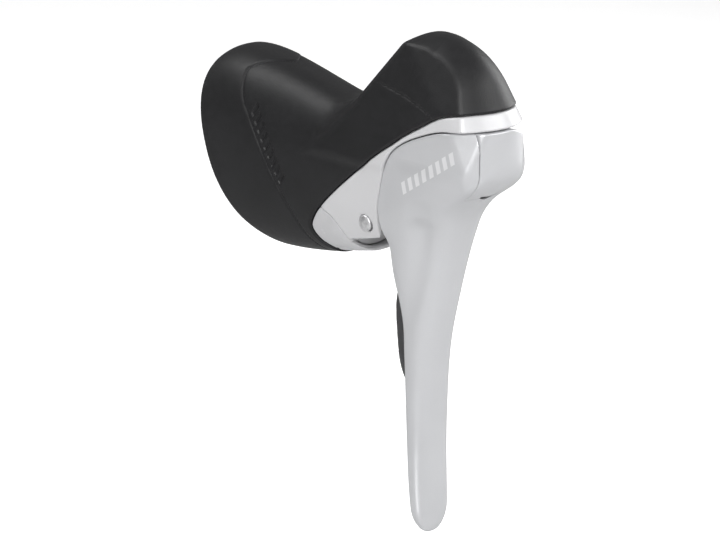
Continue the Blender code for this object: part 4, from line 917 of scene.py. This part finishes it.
# =====================================================================================
# floor, light and camera
# =====================================================================================
def stage():
    floor_z = -0.1285
    s = Shader("studio_floor", (0.9, 0.9, 0.9))
    tone = s.noise(260, 2)
    pale = s.mix(s.ramp(tone, 0.3, 0.7), (0.90, 0.90, 0.905), (0.92, 0.92, 0.92))
    # painted shade: glossy rays see the floor half-way to near black, so parts that mirror the floor, such as the
    # hood's rear, look darker than the lit floor would make them
    reflection_shade = s.math("MULTIPLY", s.node("ShaderNodeLightPath").outputs["Is Glossy Ray"], 0.5)
    floor_mat = s.done(Base_Color=s.mix(reflection_shade, pale, (0.05, 0.05, 0.05)), Roughness=0.8, Emission_Color=(1.0, 1.0, 1.0, 1.0), Emission_Strength=s.math("MULTIPLY", s.node("ShaderNodeLightPath").outputs["Is Camera Ray"], 0.55))
    n, length, rise = 48, 2.6, 1.4
    prof = [(-2.6, 0.0)]
    for i in range(n + 1):
        a = math.pi / 2 * i / n
        prof.append((length * 0.45 + 0.6 * math.sin(a), 0.6 - 0.6 * math.cos(a)))
    prof.append((length * 0.45 + 0.6, rise))
    bm_verts, faces = [], []
    for j, x in enumerate((-3.0, 3.0)):
        bm_verts += [(x, y, z) for y, z in prof]
    k = len(prof)
    faces = [(i, i + 1, k + i + 1, k + i) for i in range(k - 1)]
    mesh = bpy.data.meshes.new("studio_floor")
    mesh.from_pydata([(x, y, z + floor_z) for x, y, z in bm_verts], [], faces)
    mesh.materials.append(floor_mat)
    mesh.polygons.foreach_set("use_smooth", [True] * len(mesh.polygons))
    floor = bpy.data.objects.new("studio_floor", mesh)
    bpy.context.scene.collection.objects.link(floor)


def softbox(name, direction, distance, size, power, target=(0.0, -0.05, -0.01)):
    light = bpy.data.lights.new(name, "AREA")
    light.shape, light.size, light.size_y, light.energy = "RECTANGLE", size[0], size[1], power
    obj = bpy.data.objects.new(name, light)
    d = Vector((-direction[0], -direction[1], direction[2])).normalized()
    obj.location = Vector(target) + d * distance
    obj.rotation_mode = "QUATERNION"
    obj.rotation_quaternion = d.to_track_quat("Z", "Y")
    bpy.context.scene.collection.objects.link(obj)
    return obj


# directions are (outboard, forward, up)
stage()
softbox("front_box", (-0.35, 0.80, 0.50), 0.80, (0.70, 0.40), 2.9)
softbox("far_front_box", (-0.92, 0.10, 0.22), 0.75, (0.40, 0.60), 2.8)
softbox("near_box", (0.70, 0.55, 0.45), 0.9, (0.36, 0.50), 4.8)
softbox("shoulder_box", (0.42, -0.50, 0.76), 0.85, (0.40, 0.40), 2.2)

world = bpy.data.worlds.new("studio")
bpy.context.scene.world = world
world.use_nodes = True
tree = world.node_tree
background = tree.nodes["Background"]
seen = tree.nodes.new("ShaderNodeLightPath").outputs["Is Camera Ray"]
level = tree.nodes.new("ShaderNodeMapRange")
tree.links.new(seen, level.inputs[0])
level.inputs[3].default_value, level.inputs[4].default_value = 0.31, 1.0
tree.links.new(level.outputs[0], background.inputs[1])
background.inputs[0].default_value = (1, 1, 1, 1)
bpy.context.scene.view_settings.view_transform = "Standard"


def camera():
    """42 degrees round from the front towards the near side, 15 degrees above, 0.7 m away."""
    az, el, dist, px_per_mm = math.radians(42), math.radians(15), 700.0, 3.5
    back = np.array([-math.sin(az) * math.cos(el), -math.cos(az) * math.cos(el), math.sin(el)])
    right = np.cross((0, 0, 1.0), back)
    right /= np.linalg.norm(right)
    up = np.cross(back, right)
    aim = np.array([0.0, -48.0, 20.0])
    eye = aim + back * dist - right * (375 - 360) / px_per_mm + up * (205 - 270) / px_per_mm
    # the view is tipped down about the eye, so that the whole blade is in the frame
    tip = math.atan2(121, px_per_mm * dist * 0.82)
    back, up = back * math.cos(tip) + up * math.sin(tip), up * math.cos(tip) - back * math.sin(tip)
    data = bpy.data.cameras.new("camera")
    obj = bpy.data.objects.new("camera", data)
    bpy.context.scene.collection.objects.link(obj)
    obj.matrix_world = Matrix.Translation(Vector(eye) / 1000) @ Matrix((right, up, back)).transposed().to_4x4()
    zoom = 0.82
    data.sensor_width, data.lens = 36.0, px_per_mm * dist * zoom / 720 * 36
    data.clip_start, data.clip_end = 0.02, 20
    bpy.context.scene.camera = obj


camera()
